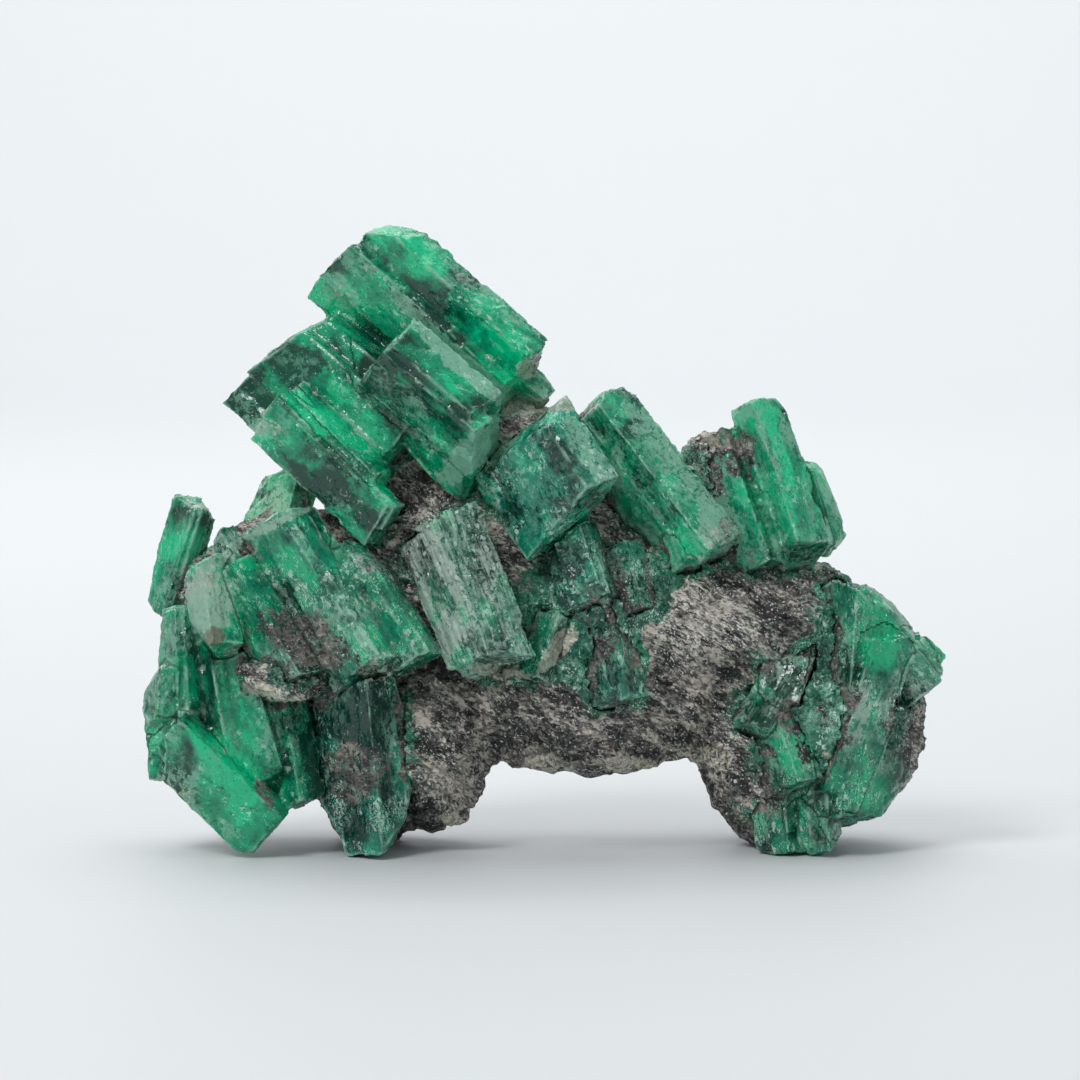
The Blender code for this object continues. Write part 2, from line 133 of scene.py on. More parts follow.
# ------------------------------------------------------------------------------- noise for the meshes


def hashed(cells: np.ndarray, seed: int) -> np.ndarray:
    """Gives each whole-number cell a repeatable random number from 0 to 1.

    Args:
        cells: Whole numbers, (n, 3).
        seed: Picks one of many such patterns.

    Returns:
        One number a cell.
    """
    column, row, layer = cells.T
    mixed = column * 73856093 ^ row * 19349663 ^ layer * 83492791 ^ (seed * 40503 + 977)
    mixed = (mixed ^ (mixed >> 13)) * 1274126177 & 0xFFFFFFFF
    mixed = (mixed ^ (mixed >> 15)) * 668265263 & 0xFFFFFFFF
    return ((mixed ^ (mixed >> 16)) & 0xFFFFFF) / 0xFFFFFF


def swell(points: np.ndarray, seed: int) -> np.ndarray:
    """Smooth noise from -1 to 1 with features about one unit wide.

    Args:
        points: (n, 3).
        seed: Picks one of many such patterns.

    Returns:
        One value a point.
    """
    base = np.floor(points).astype(np.int64)
    part = points - base
    part = part * part * (3 - 2 * part)
    total = np.zeros(len(points))
    for corner in itertools.product((0, 1), repeat=3):
        share = np.prod(np.where(corner, part, 1 - part), axis=1)
        total += share * hashed(base + np.array(corner), seed)
    return 2 * total - 1


def rough(points: np.ndarray, octaves: int, seed: int) -> np.ndarray:
    """Fractal noise from about -1 to 1.

    Args:
        points: (n, 3).
        octaves: How many times finer detail is added.
        seed: Picks one of many such patterns.

    Returns:
        One value a point.
    """
    total, share, reach = np.zeros(len(points)), 1.0, 0.0
    for octave in range(octaves):
        total += share * swell(points * 2.03**octave + 19.7 * octave, seed + octave)
        reach += share
        share *= 0.55
    return total / reach * 1.4


def voronoi_cells(points: np.ndarray) -> tuple[np.ndarray, np.ndarray]:
    """Splits space into irregular cells, one unit across.

    Args:
        points: (n, 3).

    Returns:
        A random number for the cell each point is in, and how far the point is from the cell's wall.
    """
    value, wall = np.empty(len(points)), np.empty(len(points))
    for i, point in enumerate(points):
        distances, seeds = noise.voronoi(point)
        x, y, z = seeds[0]
        value[i] = math.sin(x * 12.9898 + y * 78.233 + z * 37.719) * 43758.5453 % 1
        wall[i] = distances[1] - distances[0]
    return value, wall


def ease(value: np.ndarray, low: float, high: float) -> np.ndarray:
    """A soft step from 0 at low to 1 at high, or the other way round if high is less."""
    part = np.clip((value - low) / (high - low), 0, 1)
    return part * part * (3 - 2 * part)


# ------------------------------------------------------------------------------- mesh tools


def deselect() -> None:
    """Leaves nothing selected."""
    for obj in bpy.context.selected_objects:
        obj.select_set(False)


def pick(obj: bpy.types.Object) -> None:
    """Selects only this object and makes it active."""
    deselect()
    obj.select_set(True)
    bpy.context.view_layer.objects.active = obj


def merged_copy(node: bpy.types.Object, name: str) -> bpy.types.Object:
    """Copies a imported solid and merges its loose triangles.

    Args:
        node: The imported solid, which is left as it is.
        name: The copy's name.

    Returns:
        The copy, which has its own mesh.
    """
    copy = node.copy()
    copy.data = node.data.copy()
    copy.name = copy.data.name = name
    copy.parent = None
    for key in list(copy.keys()):
        del copy[key]
    bpy.context.scene.collection.objects.link(copy)
    copy.data.materials.clear()
    bm = bmesh.new()
    bm.from_mesh(copy.data)
    bmesh.ops.remove_doubles(bm, verts=bm.verts, dist=0.000002)
    bm.to_mesh(copy.data)
    bm.free()
    return copy


def edge_points(mesh: bpy.types.Mesh, convex: bool) -> np.ndarray:
    """Points along the solid's edges.

    Args:
        mesh: A merged solid, in metres.
        convex: True for outer edges, False for inner corners.

    Returns:
        (n, 3), mm.
    """
    bm = bmesh.new()
    bm.from_mesh(mesh)
    found = []
    for edge in bm.edges:
        if not edge.is_manifold or edge.is_convex != convex or edge.calc_face_angle(0) < LEAST_EDGE:
            continue
        start, end = (np.array(v.co) / MM for v in edge.verts)
        count = max(2, int(np.linalg.norm(end - start) / EDGE_STEP) + 1)
        found.append(start + np.linspace(0, 1, count)[:, None] * (end - start))
    bm.free()
    return np.vstack(found) if found else np.full((1, 3), FAR)


def nearness(points: np.ndarray, targets: np.ndarray) -> np.ndarray:
    """How far each point is from the nearest target, mm."""
    tree = KDTree(len(targets))
    for i, target in enumerate(targets):
        tree.insert(target, i)
    tree.balance()
    return np.array([tree.find(point)[2] for point in points])


def gaps(points: np.ndarray, wall: BVHTree, reach: float) -> np.ndarray:
    """How far each point is from a surface, mm, and the reach where nothing is nearer."""
    return np.array([wall.find_nearest(Vector(point), reach)[3] or reach for point in points])


@dataclass
class Skin:
    """The fine mesh of one piece, as arrays in mm."""

    obj: bpy.types.Object
    points: np.ndarray = field(init=False)
    normals: np.ndarray = field(init=False)

    def __post_init__(self) -> None:
        """Reads the mesh."""
        count = len(self.obj.data.vertices)
        self.points, self.normals = np.empty(count * 3), np.empty(count * 3)
        self.obj.data.vertices.foreach_get("co", self.points)
        self.obj.data.vertex_normals.foreach_get("vector", self.normals)
        self.points = self.points.reshape(-1, 3) / MM
        self.normals = self.normals.reshape(-1, 3)

    def push(self, amount: np.ndarray) -> None:
        """Moves every point along its normal by its amount in mm, but not below the floor."""
        self.points = self.points + self.normals * amount[:, None]
        self.points[:, 2] = np.maximum(self.points[:, 2], 0.0)
        self.obj.data.vertices.foreach_set("co", (self.points * MM).ravel().astype(np.float32))
        self.obj.data.update()

    def paint(self, name: str, values: np.ndarray) -> None:
        """Stores one value a point as an attribute that the finishes read."""
        kind = "FLOAT_VECTOR" if values.ndim == 2 else "FLOAT"
        made = self.obj.data.attributes.new(name, kind, "POINT")
        made.data.foreach_set("vector" if values.ndim == 2 else "value", values.ravel().astype(np.float32))


def fine_skin(obj: bpy.types.Object, grain: float) -> Skin:
    """Covers a solid with small even faces.

    Args:
        obj: A merged solid.
        grain: The size of a face, mm.

    Returns:
        Its skin.
    """
    pick(obj)
    remesh = obj.modifiers.new("Fine skin", "REMESH")
    remesh.mode = "VOXEL"
    remesh.voxel_size = grain * MM
    bpy.ops.object.modifier_apply(modifier=remesh.name)
    return Skin(obj)


def stain_masks(skin: Skin, patches: tuple[Patch, ...]) -> dict[Stain, np.ndarray]:
    """Works out how much of each stain every point has.

    Args:
        skin: The piece.
        patches: All stains of the specimen; those that miss the piece add nothing.

    Returns:
        For each stain, one value a point, not yet clipped.
    """
    points = skin.points - DRAWING_TO_ROW
    ragged = 0.30 * rough(points / 5.5, 3, 41) + 0.16 * swell(points / 0.9, 47)
    depth = points[:, 1] - FRONT_PLANE
    seen_x = points[:, 0] * (1 - depth / CAMERA_DISTANCE)
    seen_z = points[:, 2] + math.tan(CAMERA_RISE) * depth
    front = ease(skin.normals[:, 1], 0.75, 0.25)
    masks = {stain: np.zeros(len(points)) for stain in Stain}
    for patch in patches:
        turn = math.radians(patch.lean)
        right, up = seen_x - patch.at[0], seen_z - patch.at[1]
        along = (right * math.cos(turn) - up * math.sin(turn)) / patch.radii[0]
        across = (right * math.sin(turn) + up * math.cos(turn)) / patch.radii[1]
        reach = np.hypot(along, across) + ragged
        masks[patch.stain] += patch.strength * ease(reach, 1.18, 0.72) * front
    return masks


# ------------------------------------------------------------------------------- shader building blocks

Socket = bpy.types.NodeSocket
Colour = tuple[float, float, float, float]


def tint(red: float, green: float, blue: float) -> Colour:
    """A linear colour from screen values of 0 to 255."""
    parts = (part / 255 for part in (red, green, blue))
    return (*(((c + 0.055) / 1.055) ** 2.4 if c > 0.04 else c / 12.92 for c in parts), 1.0)


class Graph:
    """Adds shader nodes to a tree and wires them up."""

    def __init__(self, tree: bpy.types.NodeTree) -> None:
        """Starts on this tree."""
        self.tree = tree
        self.column = 0

    def node(self, kind: str, inputs: dict | None = None, **settings: object) -> bpy.types.Node:
        """Adds a node.

        Args:
            kind: Its Blender type without the ShaderNode prefix.
            inputs: Values or sockets by input name or number.
            **settings: The node's own properties.

        Returns:
            The node.
        """
        made = self.tree.nodes.new("ShaderNode" + kind)
        self.column += 1
        made.location = (self.column % 12 * 180, -(self.column // 12) * 260)
        for key, value in settings.items():
            setattr(made, key, value)
        for key, value in (inputs or {}).items():
            self.feed(made.inputs[key], value)
        return made

    def feed(self, socket: Socket, value: object) -> None:
        """Links a socket to an input, or sets the input's value."""
        if isinstance(value, bpy.types.NodeSocket):
            self.tree.links.new(value, socket)
        else:
            socket.default_value = value

    def math(self, operation: str, first: object, second: object = 0.0, clamp: bool = False) -> Socket:
        """One step of arithmetic."""
        return self.node("Math", {0: first, 1: second}, operation=operation, use_clamp=clamp).outputs[0]

    def times(self, first: object, second: object) -> Socket:
        """A product."""
        return self.math("MULTIPLY", first, second)

    def total(self, *parts: tuple[object, float]) -> Socket:
        """The sum of some values, each times its weight."""
        made = self.times(*parts[0])
        for value, weight in parts[1:]:
            made = self.math("ADD", made, self.times(value, weight))
        return made

    def swing(self, value: object) -> Socket:
        """A value from 0 to 1, moved to lie from -0.5 to 0.5."""
        return self.math("SUBTRACT", value, 0.5)

    def ease(self, value: object, low: float, high: float, start: float = 0.0, end: float = 1.0) -> Socket:
        """A soft step from start, where the value is low, to end, where it is high."""
        inputs = {"Value": value, "From Min": low, "From Max": high, "To Min": start, "To Max": end}
        return self.node("MapRange", inputs, interpolation_type="SMOOTHSTEP").outputs["Result"]

    def mix(self, share: object, first: object, second: object) -> Socket:
        """A mix of two colours."""
        made = self.node("Mix", data_type="RGBA", clamp_factor=True)
        self.feed(made.inputs["Factor"], share)
        self.feed(made.inputs[6], first)
        self.feed(made.inputs[7], second)
        return made.outputs[2]

    def noise(self, where: Socket, scale: float, detail: float, roughness: float,
              distortion: float = 0.0) -> Socket:
        """Fractal noise, from 0 to 1."""
        inputs = {"Vector": where, "Scale": scale, "Detail": detail, "Roughness": roughness,
                  "Distortion": distortion}
        return self.node("TexNoise", inputs).outputs["Fac"]

    def veins(self, where: Socket, scale: float, width: float) -> Socket:
        """Thin wandering lines, 1 on a line and 0 beside it."""
        level = self.math("ABSOLUTE", self.swing(self.noise(where, scale, 4.0, 0.5)))
        return self.ease(level, width, 0.0)

    def shards(self, where: Socket, scale: float) -> tuple[Socket, Socket]:
        """Angular splinters.

        Args:
            where: Coordinates, m.
            scale: How many splinters there are to the metre.

        Returns:
            A random number for each splinter, and the height of its slanting face.
        """
        middle = (0.5, 0.5, 0.5)
        warp = self.node("TexNoise", {"Vector": where, "Scale": scale * 0.9, "Detail": 0.0})
        bend = self.vector("SUBTRACT", {0: warp.outputs["Color"], 1: middle})
        shift = self.vector("SCALE", {0: bend, "Scale": 0.9 / scale})
        place = self.vector("ADD", {0: where, 1: shift})
        cell = self.node("TexVoronoi", {"Vector": place, "Scale": scale}, feature="F1")
        inside = self.vector("SUBTRACT", {0: place, 1: cell.outputs["Position"]})
        slant = self.vector("SUBTRACT", {0: cell.outputs["Color"], 1: middle})
        tilt = self.vector("DOT_PRODUCT", {0: inside, 1: slant}, "Value")
        value = self.node("SeparateXYZ", {"Vector": cell.outputs["Color"]}).outputs["X"]
        return value, self.total((tilt, 2.2 * scale), (value, 0.5))

    def vector(self, operation: str, inputs: dict, output: str = "Vector") -> Socket:
        """One step of vector arithmetic."""
        return self.node("VectorMath", inputs, operation=operation).outputs[output]

    def stretched(self, where: Socket, scale: tuple[float, float, float]) -> Socket:
        """Coordinates scaled by axis."""
        return self.node("Mapping", {"Vector": where, "Scale": scale}).outputs["Vector"]

    def attribute(self, name: str, output: str = "Fac") -> Socket:
        """A value painted on the mesh."""
        return self.node("Attribute", attribute_name=name).outputs[output]


def group(
    name: str, inputs: dict[str, float | Colour | None], outputs: dict[str, str]
) -> tuple[bpy.types.NodeTree, Graph, dict[str, Socket], bpy.types.Node]:
    """Starts a shader node group with named sockets.

    Args:
        name: The group's name.
        inputs: Default values; None makes a vector input, and four numbers make a colour.
        outputs: The socket type of each output, without the NodeSocket prefix.

    Returns:
        The group, a graph to fill it with, its input sockets by name, and its output node.
    """
    tree = bpy.data.node_groups.new(name, "ShaderNodeTree")
    for key, value in inputs.items():
        kind = "NodeSocketVector" if value is None else "NodeSocketFloat"
        if isinstance(value, tuple):
            kind = "NodeSocketColor"
        made = tree.interface.new_socket(key, in_out="INPUT", socket_type=kind)
        if value is not None:
            made.default_value = value
    for key, kind in outputs.items():
        tree.interface.new_socket(key, in_out="OUTPUT", socket_type="NodeSocket" + kind)
    start, end = tree.nodes.new("NodeGroupInput"), tree.nodes.new("NodeGroupOutput")
    return tree, Graph(tree), {s.name: s for s in start.outputs if s.name}, end


def beryl_group() -> bpy.types.NodeTree:
    """The colour, gloss and relief of beryl, with what grew along its axis and what is caught in it."""
    tree, g, given, end = group(
        "beryl",
        {
            "Along": None, "Place": None, "Bright": 0.0, "Deep": 0.0, "Veil": 0.0, "Edge": 0.0,
            "Facet": 0.0, "Flecks": 0.5, "Grooves": 0.5, "Rubble": 0.5, "Bright tone": tint(0, 222, 156),
            "Body tone": tint(4, 166, 120), "Deep tone": tint(0, 72, 56), "Veil tone": tint(140, 204, 176),
        },
        {"Color": "Color", "Roughness": "Float", "Height": "Float", "Chip": "Float"},
    )
    along, place = given["Along"], given["Place"]
    clouds = g.noise(place, 75, 3, 0.6)
    crowd = g.noise(place, 150, 3, 0.6)
    plate, plate_face = g.shards(g.stretched(along, (1.0, 1.0, 0.62)), 380)
    chip, _ = g.shards(g.stretched(along, (1.0, 1.0, 0.75)), 1350)
    colour = beryl_tones(g, given, clouds, crowd, g.total((plate, 0.8), (chip, 1.0)))

    lines = g.noise(g.stretched(along, (1500, 1500, 110)), 1.0, 2, 0.6)
    dark_lines = g.times(g.ease(lines, 0.44, 0.34), given["Grooves"])
    light_lines = g.times(g.ease(lines, 0.56, 0.66), given["Grooves"])
    colour = g.mix(g.times(dark_lines, 0.8), colour, given["Deep tone"])

    haze = g.noise(g.stretched(along, (400, 400, 300)), 1.0, 4, 0.75)
    powder = g.noise(place, 2300, 2, 0.7)
    milk = g.total((haze, 1.0), (powder, 0.5), (chip, 0.34), (given["Veil"], 0.22))
    veil = g.math("MULTIPLY", given["Veil"], g.ease(milk, 0.90, 1.16), clamp=True)
    silk = g.times(light_lines, g.math("ADD", given["Veil"], 0.3))
    veil = g.math("ADD", veil, silk, clamp=True)
    colour = g.mix(g.times(veil, 0.85), colour, given["Veil tone"])

    dots = beryl_flecks(g, given, crowd, haze, chip)
    # Pale inclusions and painted glints, mixed toward near white.
    colour = g.mix(g.times(dots, 0.9), colour, tint(224, 248, 236))
    pits = g.ease(g.noise(g.stretched(along, (2100, 2100, 1500)), 1.0, 2, 0.6), 0.38, 0.32)
    flaws = g.veins(g.stretched(along, (1.0, 1.0, 0.65)), 200, 0.014)
    dark = g.math("MAXIMUM", pits, g.times(flaws, g.ease(clouds, 0.60, 0.44)))
    colour = g.mix(g.times(dark, 0.7), colour, given["Deep tone"])
    # Pale chipped edges, and partly a painted highlight along the outer edges.
    chipped_edge_and_highlight = g.times(given["Edge"], g.ease(haze, 0.36, 0.52))
    colour = g.mix(g.times(chipped_edge_and_highlight, 0.95), colour, tint(176, 232, 206))

    gloss = g.ease(crowd, 0.35, 0.65, 0.08, 0.26)
    splintered = g.times(plate_face, given["Rubble"])
    grooved = g.times(lines, given["Grooves"])
    g.feed(end.inputs["Color"], colour)
    g.feed(end.inputs["Roughness"], g.total((gloss, 1.0), (dots, 0.22), (veil, 0.22)))
    grain = g.noise(place, 300, 3, 0.7)
    g.feed(end.inputs["Height"], g.total((splintered, 1.7), (grooved, 2.0), (grain, 1.4)))
    g.feed(end.inputs["Chip"], chip)
    return tree


def beryl_tones(g: Graph, given: dict[str, Socket], clouds: Socket, crowd: Socket,
                splinters: Socket) -> Socket:
    """The green of beryl, from its darkest to its clearest tone.

    Args:
        g: The graph of the beryl group.
        given: The group's inputs.
        clouds: Slow noise, for the wide zones.
        crowd: Noise that says where the faces are broken.
        splinters: The tone of the splinters there.

    Returns:
        The colour.
    """
    streaks = g.noise(g.stretched(given["Along"], (240, 240, 120)), 1.0, 2, 0.6)
    grain = g.noise(g.stretched(given["Along"], (1500, 1500, 1100)), 1.0, 2, 0.7)
    rubble = g.times(g.ease(crowd, 0.42, 0.60, 0.12, 1.0), given["Rubble"])
    broken = g.times(g.math("SUBTRACT", splinters, 0.9), rubble)
    # Bright lifts the tone for clear beryl and painted glow; Deep lowers it for thick beryl and painted
    # shade.
    tone = g.total(
        (g.swing(clouds), 5.5), (broken, 1.2), (g.swing(streaks), 1.3), (g.swing(grain), 0.8),
        (given["Facet"], 0.5), (given["Bright"], 1.0), (given["Deep"], -1.0),
    )
    colour = g.mix(g.ease(tone, -0.8, 0.1), given["Deep tone"], given["Body tone"])
    return g.mix(g.ease(tone, 0.1, 0.9), colour, given["Bright tone"])


def beryl_flecks(g: Graph, given: dict[str, Socket], crowd: Socket, haze: Socket, chip: Socket) -> Socket:
    """Pale inclusions: strokes along the axis, scratches across it, short cracks, and painted glints.

    Args:
        g: The graph of the beryl group.
        given: The group's inputs.
        crowd: Noise that says where they crowd.
        haze: Noise that says where cracks show.
        chip: A random number for each small splinter.

    Returns:
        How strongly they show, from 0 to 1.
    """
    along = given["Along"]
    richness = g.times(given["Flecks"], g.ease(crowd, 0.36, 0.64, 0.35, 1.2))
    clear = g.total((given["Deep"], 0.5), (given["Bright"], 0.35))
    richness = g.times(richness, g.math("SUBTRACT", 1.0, clear, clamp=True))
    level = g.ease(richness, 0.0, 1.0, 0.73, 0.54)
    strokes = g.noise(g.stretched(along, (3000, 3000, 1300)), 1.0, 2, 0.7)
    across = g.noise(g.stretched(along, (1300, 2900, 3300)), 1.0, 2, 0.7)
    fleck = g.ease(g.math("SUBTRACT", strokes, level), 0.0, 0.035)
    scratch = g.ease(g.math("SUBTRACT", across, g.math("ADD", level, 0.02)), 0.0, 0.035)
    cracks = g.veins(g.stretched(along, (1.0, 1.0, 0.65)), 250, 0.012)
    crack = g.times(cracks, g.ease(haze, 0.54, 0.62, 0.0, 0.7))
    # Painted glints: a few splinters turned nearly white.
    painted_glint = g.times(g.ease(chip, 0.91, 0.94), g.ease(richness, 0.25, 0.6))
    dots = g.math("MAXIMUM", fleck, g.times(scratch, 0.85))
    dots = g.math("MAXIMUM", dots, crack, clamp=True)
    return g.math("MAXIMUM", dots, g.times(painted_glint, 0.8))


def schist_group(name: str, whole: bool) -> bpy.types.NodeTree:
    """The colour, gloss and relief of mica schist: dark and light grains in wavy sheets.

    Args:
        name: The group's name.
        whole: True for the matrix; False for the thin crust on a crystal, which has no flakes.

    Returns:
        The group.
    """
    tree, g, given, end = group(
        name,
        {"Sheet": None, "Place": None, "Pale": 0.0, "Dark tone": tint(34, 33, 34),
         "Grey tone": tint(122, 119, 115), "Light tone": tint(218, 212, 198)},
        {"Color": "Color", "Roughness": "Float", "Height": "Float"},
    )
    sheet, place = given["Sheet"], given["Place"]
    bands = g.noise(g.stretched(sheet, (90, 90, 250)), 1.0, 4, 0.65, 1.4)
    patches = g.noise(place, 110, 4, 0.65)
    grain = g.noise(g.stretched(sheet, (900, 900, 1500)), 1.0, 4, 0.8)
    salt = g.noise(g.stretched(sheet, (1800, 1800, 2500)), 1.0, 2, 0.6)
    values = [(g.swing(grain), 0.7), (g.swing(bands), 0.65), (g.swing(patches), 0.9), (given["Pale"], 0.13)]
    heights = [(grain, 0.8), (bands, 3.0)]
    if whole:
        flake, flake_face = g.shards(g.stretched(sheet, (1.0, 1.0, 2.2)), 330)
        scale, _ = g.shards(g.stretched(sheet, (1.0, 1.0, 1.7)), 1100)
        values += [(g.swing(flake), 0.20), (g.swing(scale), 0.30)]
        heights.append((flake_face, 1.3))
    value = g.math("ADD", g.total(*values), 0.5)
    colour = g.mix(g.ease(value, 0.37, 0.58), given["Dark tone"], given["Grey tone"])
    colour = g.mix(g.ease(value, 0.55, 0.76), colour, given["Light tone"])
    lift = g.ease(g.total((salt, 1.0), (given["Pale"], 0.07)), 0.60, 0.68)
    colour = g.mix(g.times(lift, 0.9), colour, tint(244, 242, 236))
    soot = g.ease(g.noise(g.stretched(sheet, (900, 900, 2000)), 1.0, 2, 0.6), 0.42, 0.34)
    colour = g.mix(g.times(soot, 0.85), colour, tint(16, 15, 16))
    warm = g.ease(patches, 0.46, 0.66)
    colour = g.mix(g.times(warm, 0.35), colour, tint(92, 80, 70))
    g.feed(end.inputs["Color"], colour)
    g.feed(end.inputs["Roughness"], g.ease(grain, 0.4, 0.7, 0.72, 0.34))
    g.feed(end.inputs["Height"], g.total(*heights))
    return tree


def crust_group() -> bpy.types.NodeTree:
    """Turns a painted mask into a grainy one, whose rim breaks up into crumbs."""
    tree, g, given, end = group("crust", {"Mask": 0.0, "Crumbs": 0.5, "Chip": 0.5}, {"Mask": "Float"})
    mixed = g.total((given["Crumbs"], 2.4), (given["Chip"], 0.9))
    broken = g.times(given["Mask"], g.math("SUBTRACT", mixed, 0.65))
    g.feed(end.inputs["Mask"], g.ease(broken, 0.32, 0.62))
    return tree


@dataclass(frozen=True)
class StoneFinish:
    """One finish: beryl and schist mixed by the painted masks.

    Attributes:
        name: The material's name.
        bright: The clearest tone, also the colour of the painted glow.
        body: The usual tone.
        deep: The darkest tone.
        veil: The tone of milky haze.
        flecks: How many pale inclusions and painted glints it has, from 0 to 1.
        grooves: How strongly it is grooved along its axis.
        rubble: How much its faces are broken into splinters.
        bump: The height of the finest relief, mm.
        transmission: How clear the beryl is.
        glow: How much light spreads inside it.
        rocky: True if its relief is that of schist.
        cover: How solid the feldspar on it is.
    """

    name: str
    bright: Colour = tint(0, 222, 156)
    body: Colour = tint(4, 166, 120)
    deep: Colour = tint(0, 72, 56)
    veil: Colour = tint(140, 204, 176)
    flecks: float = 0.5
    grooves: float = 0.5
    rubble: float = 0.6
    bump: float = 0.2
    transmission: float = 0.34
    glow: float = 0.0
    rocky: bool = False
    cover: float = 0.6

    def beryl(self, g: Graph, groups: dict[str, bpy.types.NodeTree], place: Socket) -> bpy.types.Node:
        """Adds the beryl group with this finish's tones.

        Args:
            g: The material's graph.
            groups: The shared node groups by name.
            place: Object coordinates.

        Returns:
            The group's node.
        """
        painted = {stain.name.title(): g.attribute(stain.value) for stain in (BRIGHT, DEEP, VEIL)}
        return g.node("Group", {
            "Along": g.attribute("grow", "Vector"), "Place": place, **painted,
            "Edge": g.attribute("edge"), "Facet": g.attribute("facet"),
            "Flecks": self.flecks, "Rubble": self.rubble,
            "Grooves": g.times(g.attribute("prism_face"), self.grooves),
            "Bright tone": self.bright, "Body tone": self.body, "Deep tone": self.deep,
            "Veil tone": self.veil,
        }, node_tree=groups["beryl"])

    def material(self, groups: dict[str, bpy.types.NodeTree]) -> bpy.types.Material:
        """Builds the material.

        Args:
            groups: The shared node groups by name.

        Returns:
            The material.
        """
        made = bpy.data.materials.new(self.name)
        made.use_nodes = True
        g = Graph(made.node_tree)
        place = g.node("TexCoord").outputs["Object"]
        beryl = self.beryl(g, groups, place)
        schist = g.node("Group", {
            "Sheet": g.attribute("sheet", "Vector"), "Place": place, "Pale": g.attribute(PALE.value),
        }, node_tree=groups["schist" if self.rocky else "thin schist"])
        crumbs = g.noise(place, 900, 4, 0.9)
        chip = beryl.outputs["Chip"]
        rock, cream, rust = (
            g.node("Group", {"Mask": g.attribute(stain.value), "Crumbs": crumbs, "Chip": chip},
                   node_tree=groups["crust"]).outputs["Mask"]
            for stain in (ROCK, CREAM, RUST)
        )
        colour = g.mix(rock, beryl.outputs["Color"], schist.outputs["Color"])
        feldspar = g.mix(g.ease(crumbs, 0.36, 0.62), tint(124, 122, 102), tint(240, 236, 220))
        colour = g.mix(g.times(cream, self.cover), colour, feldspar)
        colour = g.mix(g.times(rust, 0.7), colour, tint(118, 74, 52))
        gloss = g.node("Mix", {0: rock, 2: beryl.outputs["Roughness"], 3: schist.outputs["Roughness"]})
        gloss = g.math("ADD", gloss.outputs[0], g.times(cream, 0.2), clamp=True)
        relief = (schist if self.rocky else beryl).outputs["Height"]
        bump = g.node("Bump", {"Height": relief, "Distance": self.bump * MM, "Strength": 1.0})
        shader = made.node_tree.nodes["Principled BSDF"]
        wanted = {
            "Base Color": colour, "Roughness": gloss, "Normal": bump.outputs["Normal"], "IOR": BERYL_IOR,
            "Specular IOR Level": 0.5, "Transmission Weight": self.transmission,
            "Subsurface Weight": self.glow, "Subsurface Radius": (0.25, 1.0, 0.6),
            "Subsurface Scale": 1.5 * MM,
        }
        for key, value in wanted.items():
            g.feed(shader.inputs[key], value)
        return made


# ------------------------------------------------------------------------------- where the stains, the painted glow and the painted shade lie

CROWN_STAINS = (
    Patch(BRIGHT, (-43, 112.8), (5, 4), 0, 0.7),
    Patch(BRIGHT, (-27.2, 122.6), (9, 4), 40, 0.6),
    Patch(BRIGHT, (-8, 99.8), (8, 5), 42, 0.8),
    Patch(DEEP, (-18, 107.2), (12, 3.5), 42, 0.5),
    Patch(VEIL, (-40.4, 113.8), (5, 2.6), 40, 0.8),
    Patch(VEIL, (-36.6, 118.8), (5, 2.2), 40, 0.7),
    Patch(VEIL, (-10, 114), (18, 2.4), 40, 0.6),
    Patch(CREAM, (-33.8, 117.6), (2.5, 1.2), 40, 0.5),
    Patch(CREAM, (-39.6, 113.2), (2.2, 1.0), 50, 0.5),
    Patch(VEIL, (-26, 110), (7, 1.6), 42, 1.0),
    Patch(RUST, (-26, 110), (5.5, 0.9), 42, 0.35),
    Patch(CREAM, (-2.6, 97.4), (2.2, 2.0), 0, 0.9),
    Patch(VEIL, (1, 92.6), (3, 2.5), 0, 0.6),
    Patch(CREAM, (-2, 90.6), (6, 1.6), -10, 0.85),
)
TOWER_STAINS = (
    Patch(DEEP, (-60.5, 93), (7, 2.4), -45, 0.7),
    Patch(VEIL, (-58, 89), (6, 2.4), 50, 0.5),
    Patch(DEEP, (-48, 98.2), (10, 5), 45, 0.6),
    Patch(CREAM, (-54, 85.6), (3, 2), 0, 0.5),
    Patch(VEIL, (-53, 86), (4.5, 3), 0, 0.6),
    Patch(BRIGHT, (-46.4, 88.8), (6, 2.2), 42, 0.8),
    Patch(DEEP, (-49.6, 82), (5, 3.4), 45, 0.6),
    Patch(DEEP, (-39, 72.2), (9, 4), 45, 0.6),
    Patch(BRIGHT, (-32.6, 72), (4, 3), 0, 0.7),
    Patch(VEIL, (-38, 80.2), (8, 1), 42, 0.5),
    Patch(DEEP, (-29.4, 96.2), (7, 5), 43, 0.8),
    Patch(DEEP, (-21, 92.2), (10, 3.6), 43, 0.8),
    Patch(VEIL, (-26, 89.2), (10, 4), 45, 0.35),
    Patch(VEIL, (-14.8, 98), (13, 2.4), 41, 2.4),
    Patch(PALE, (-14.8, 98), (12.5, 1.7), 41, 1.0),
    Patch(VEIL, (-10.4, 82.8), (11, 3.2), -40, 2.0),
    Patch(BRIGHT, (-13, 87), (3, 2), 0, 0.6),
    Patch(VEIL, (-36.4, 92.8), (1, 4), 0, 0.6),
)
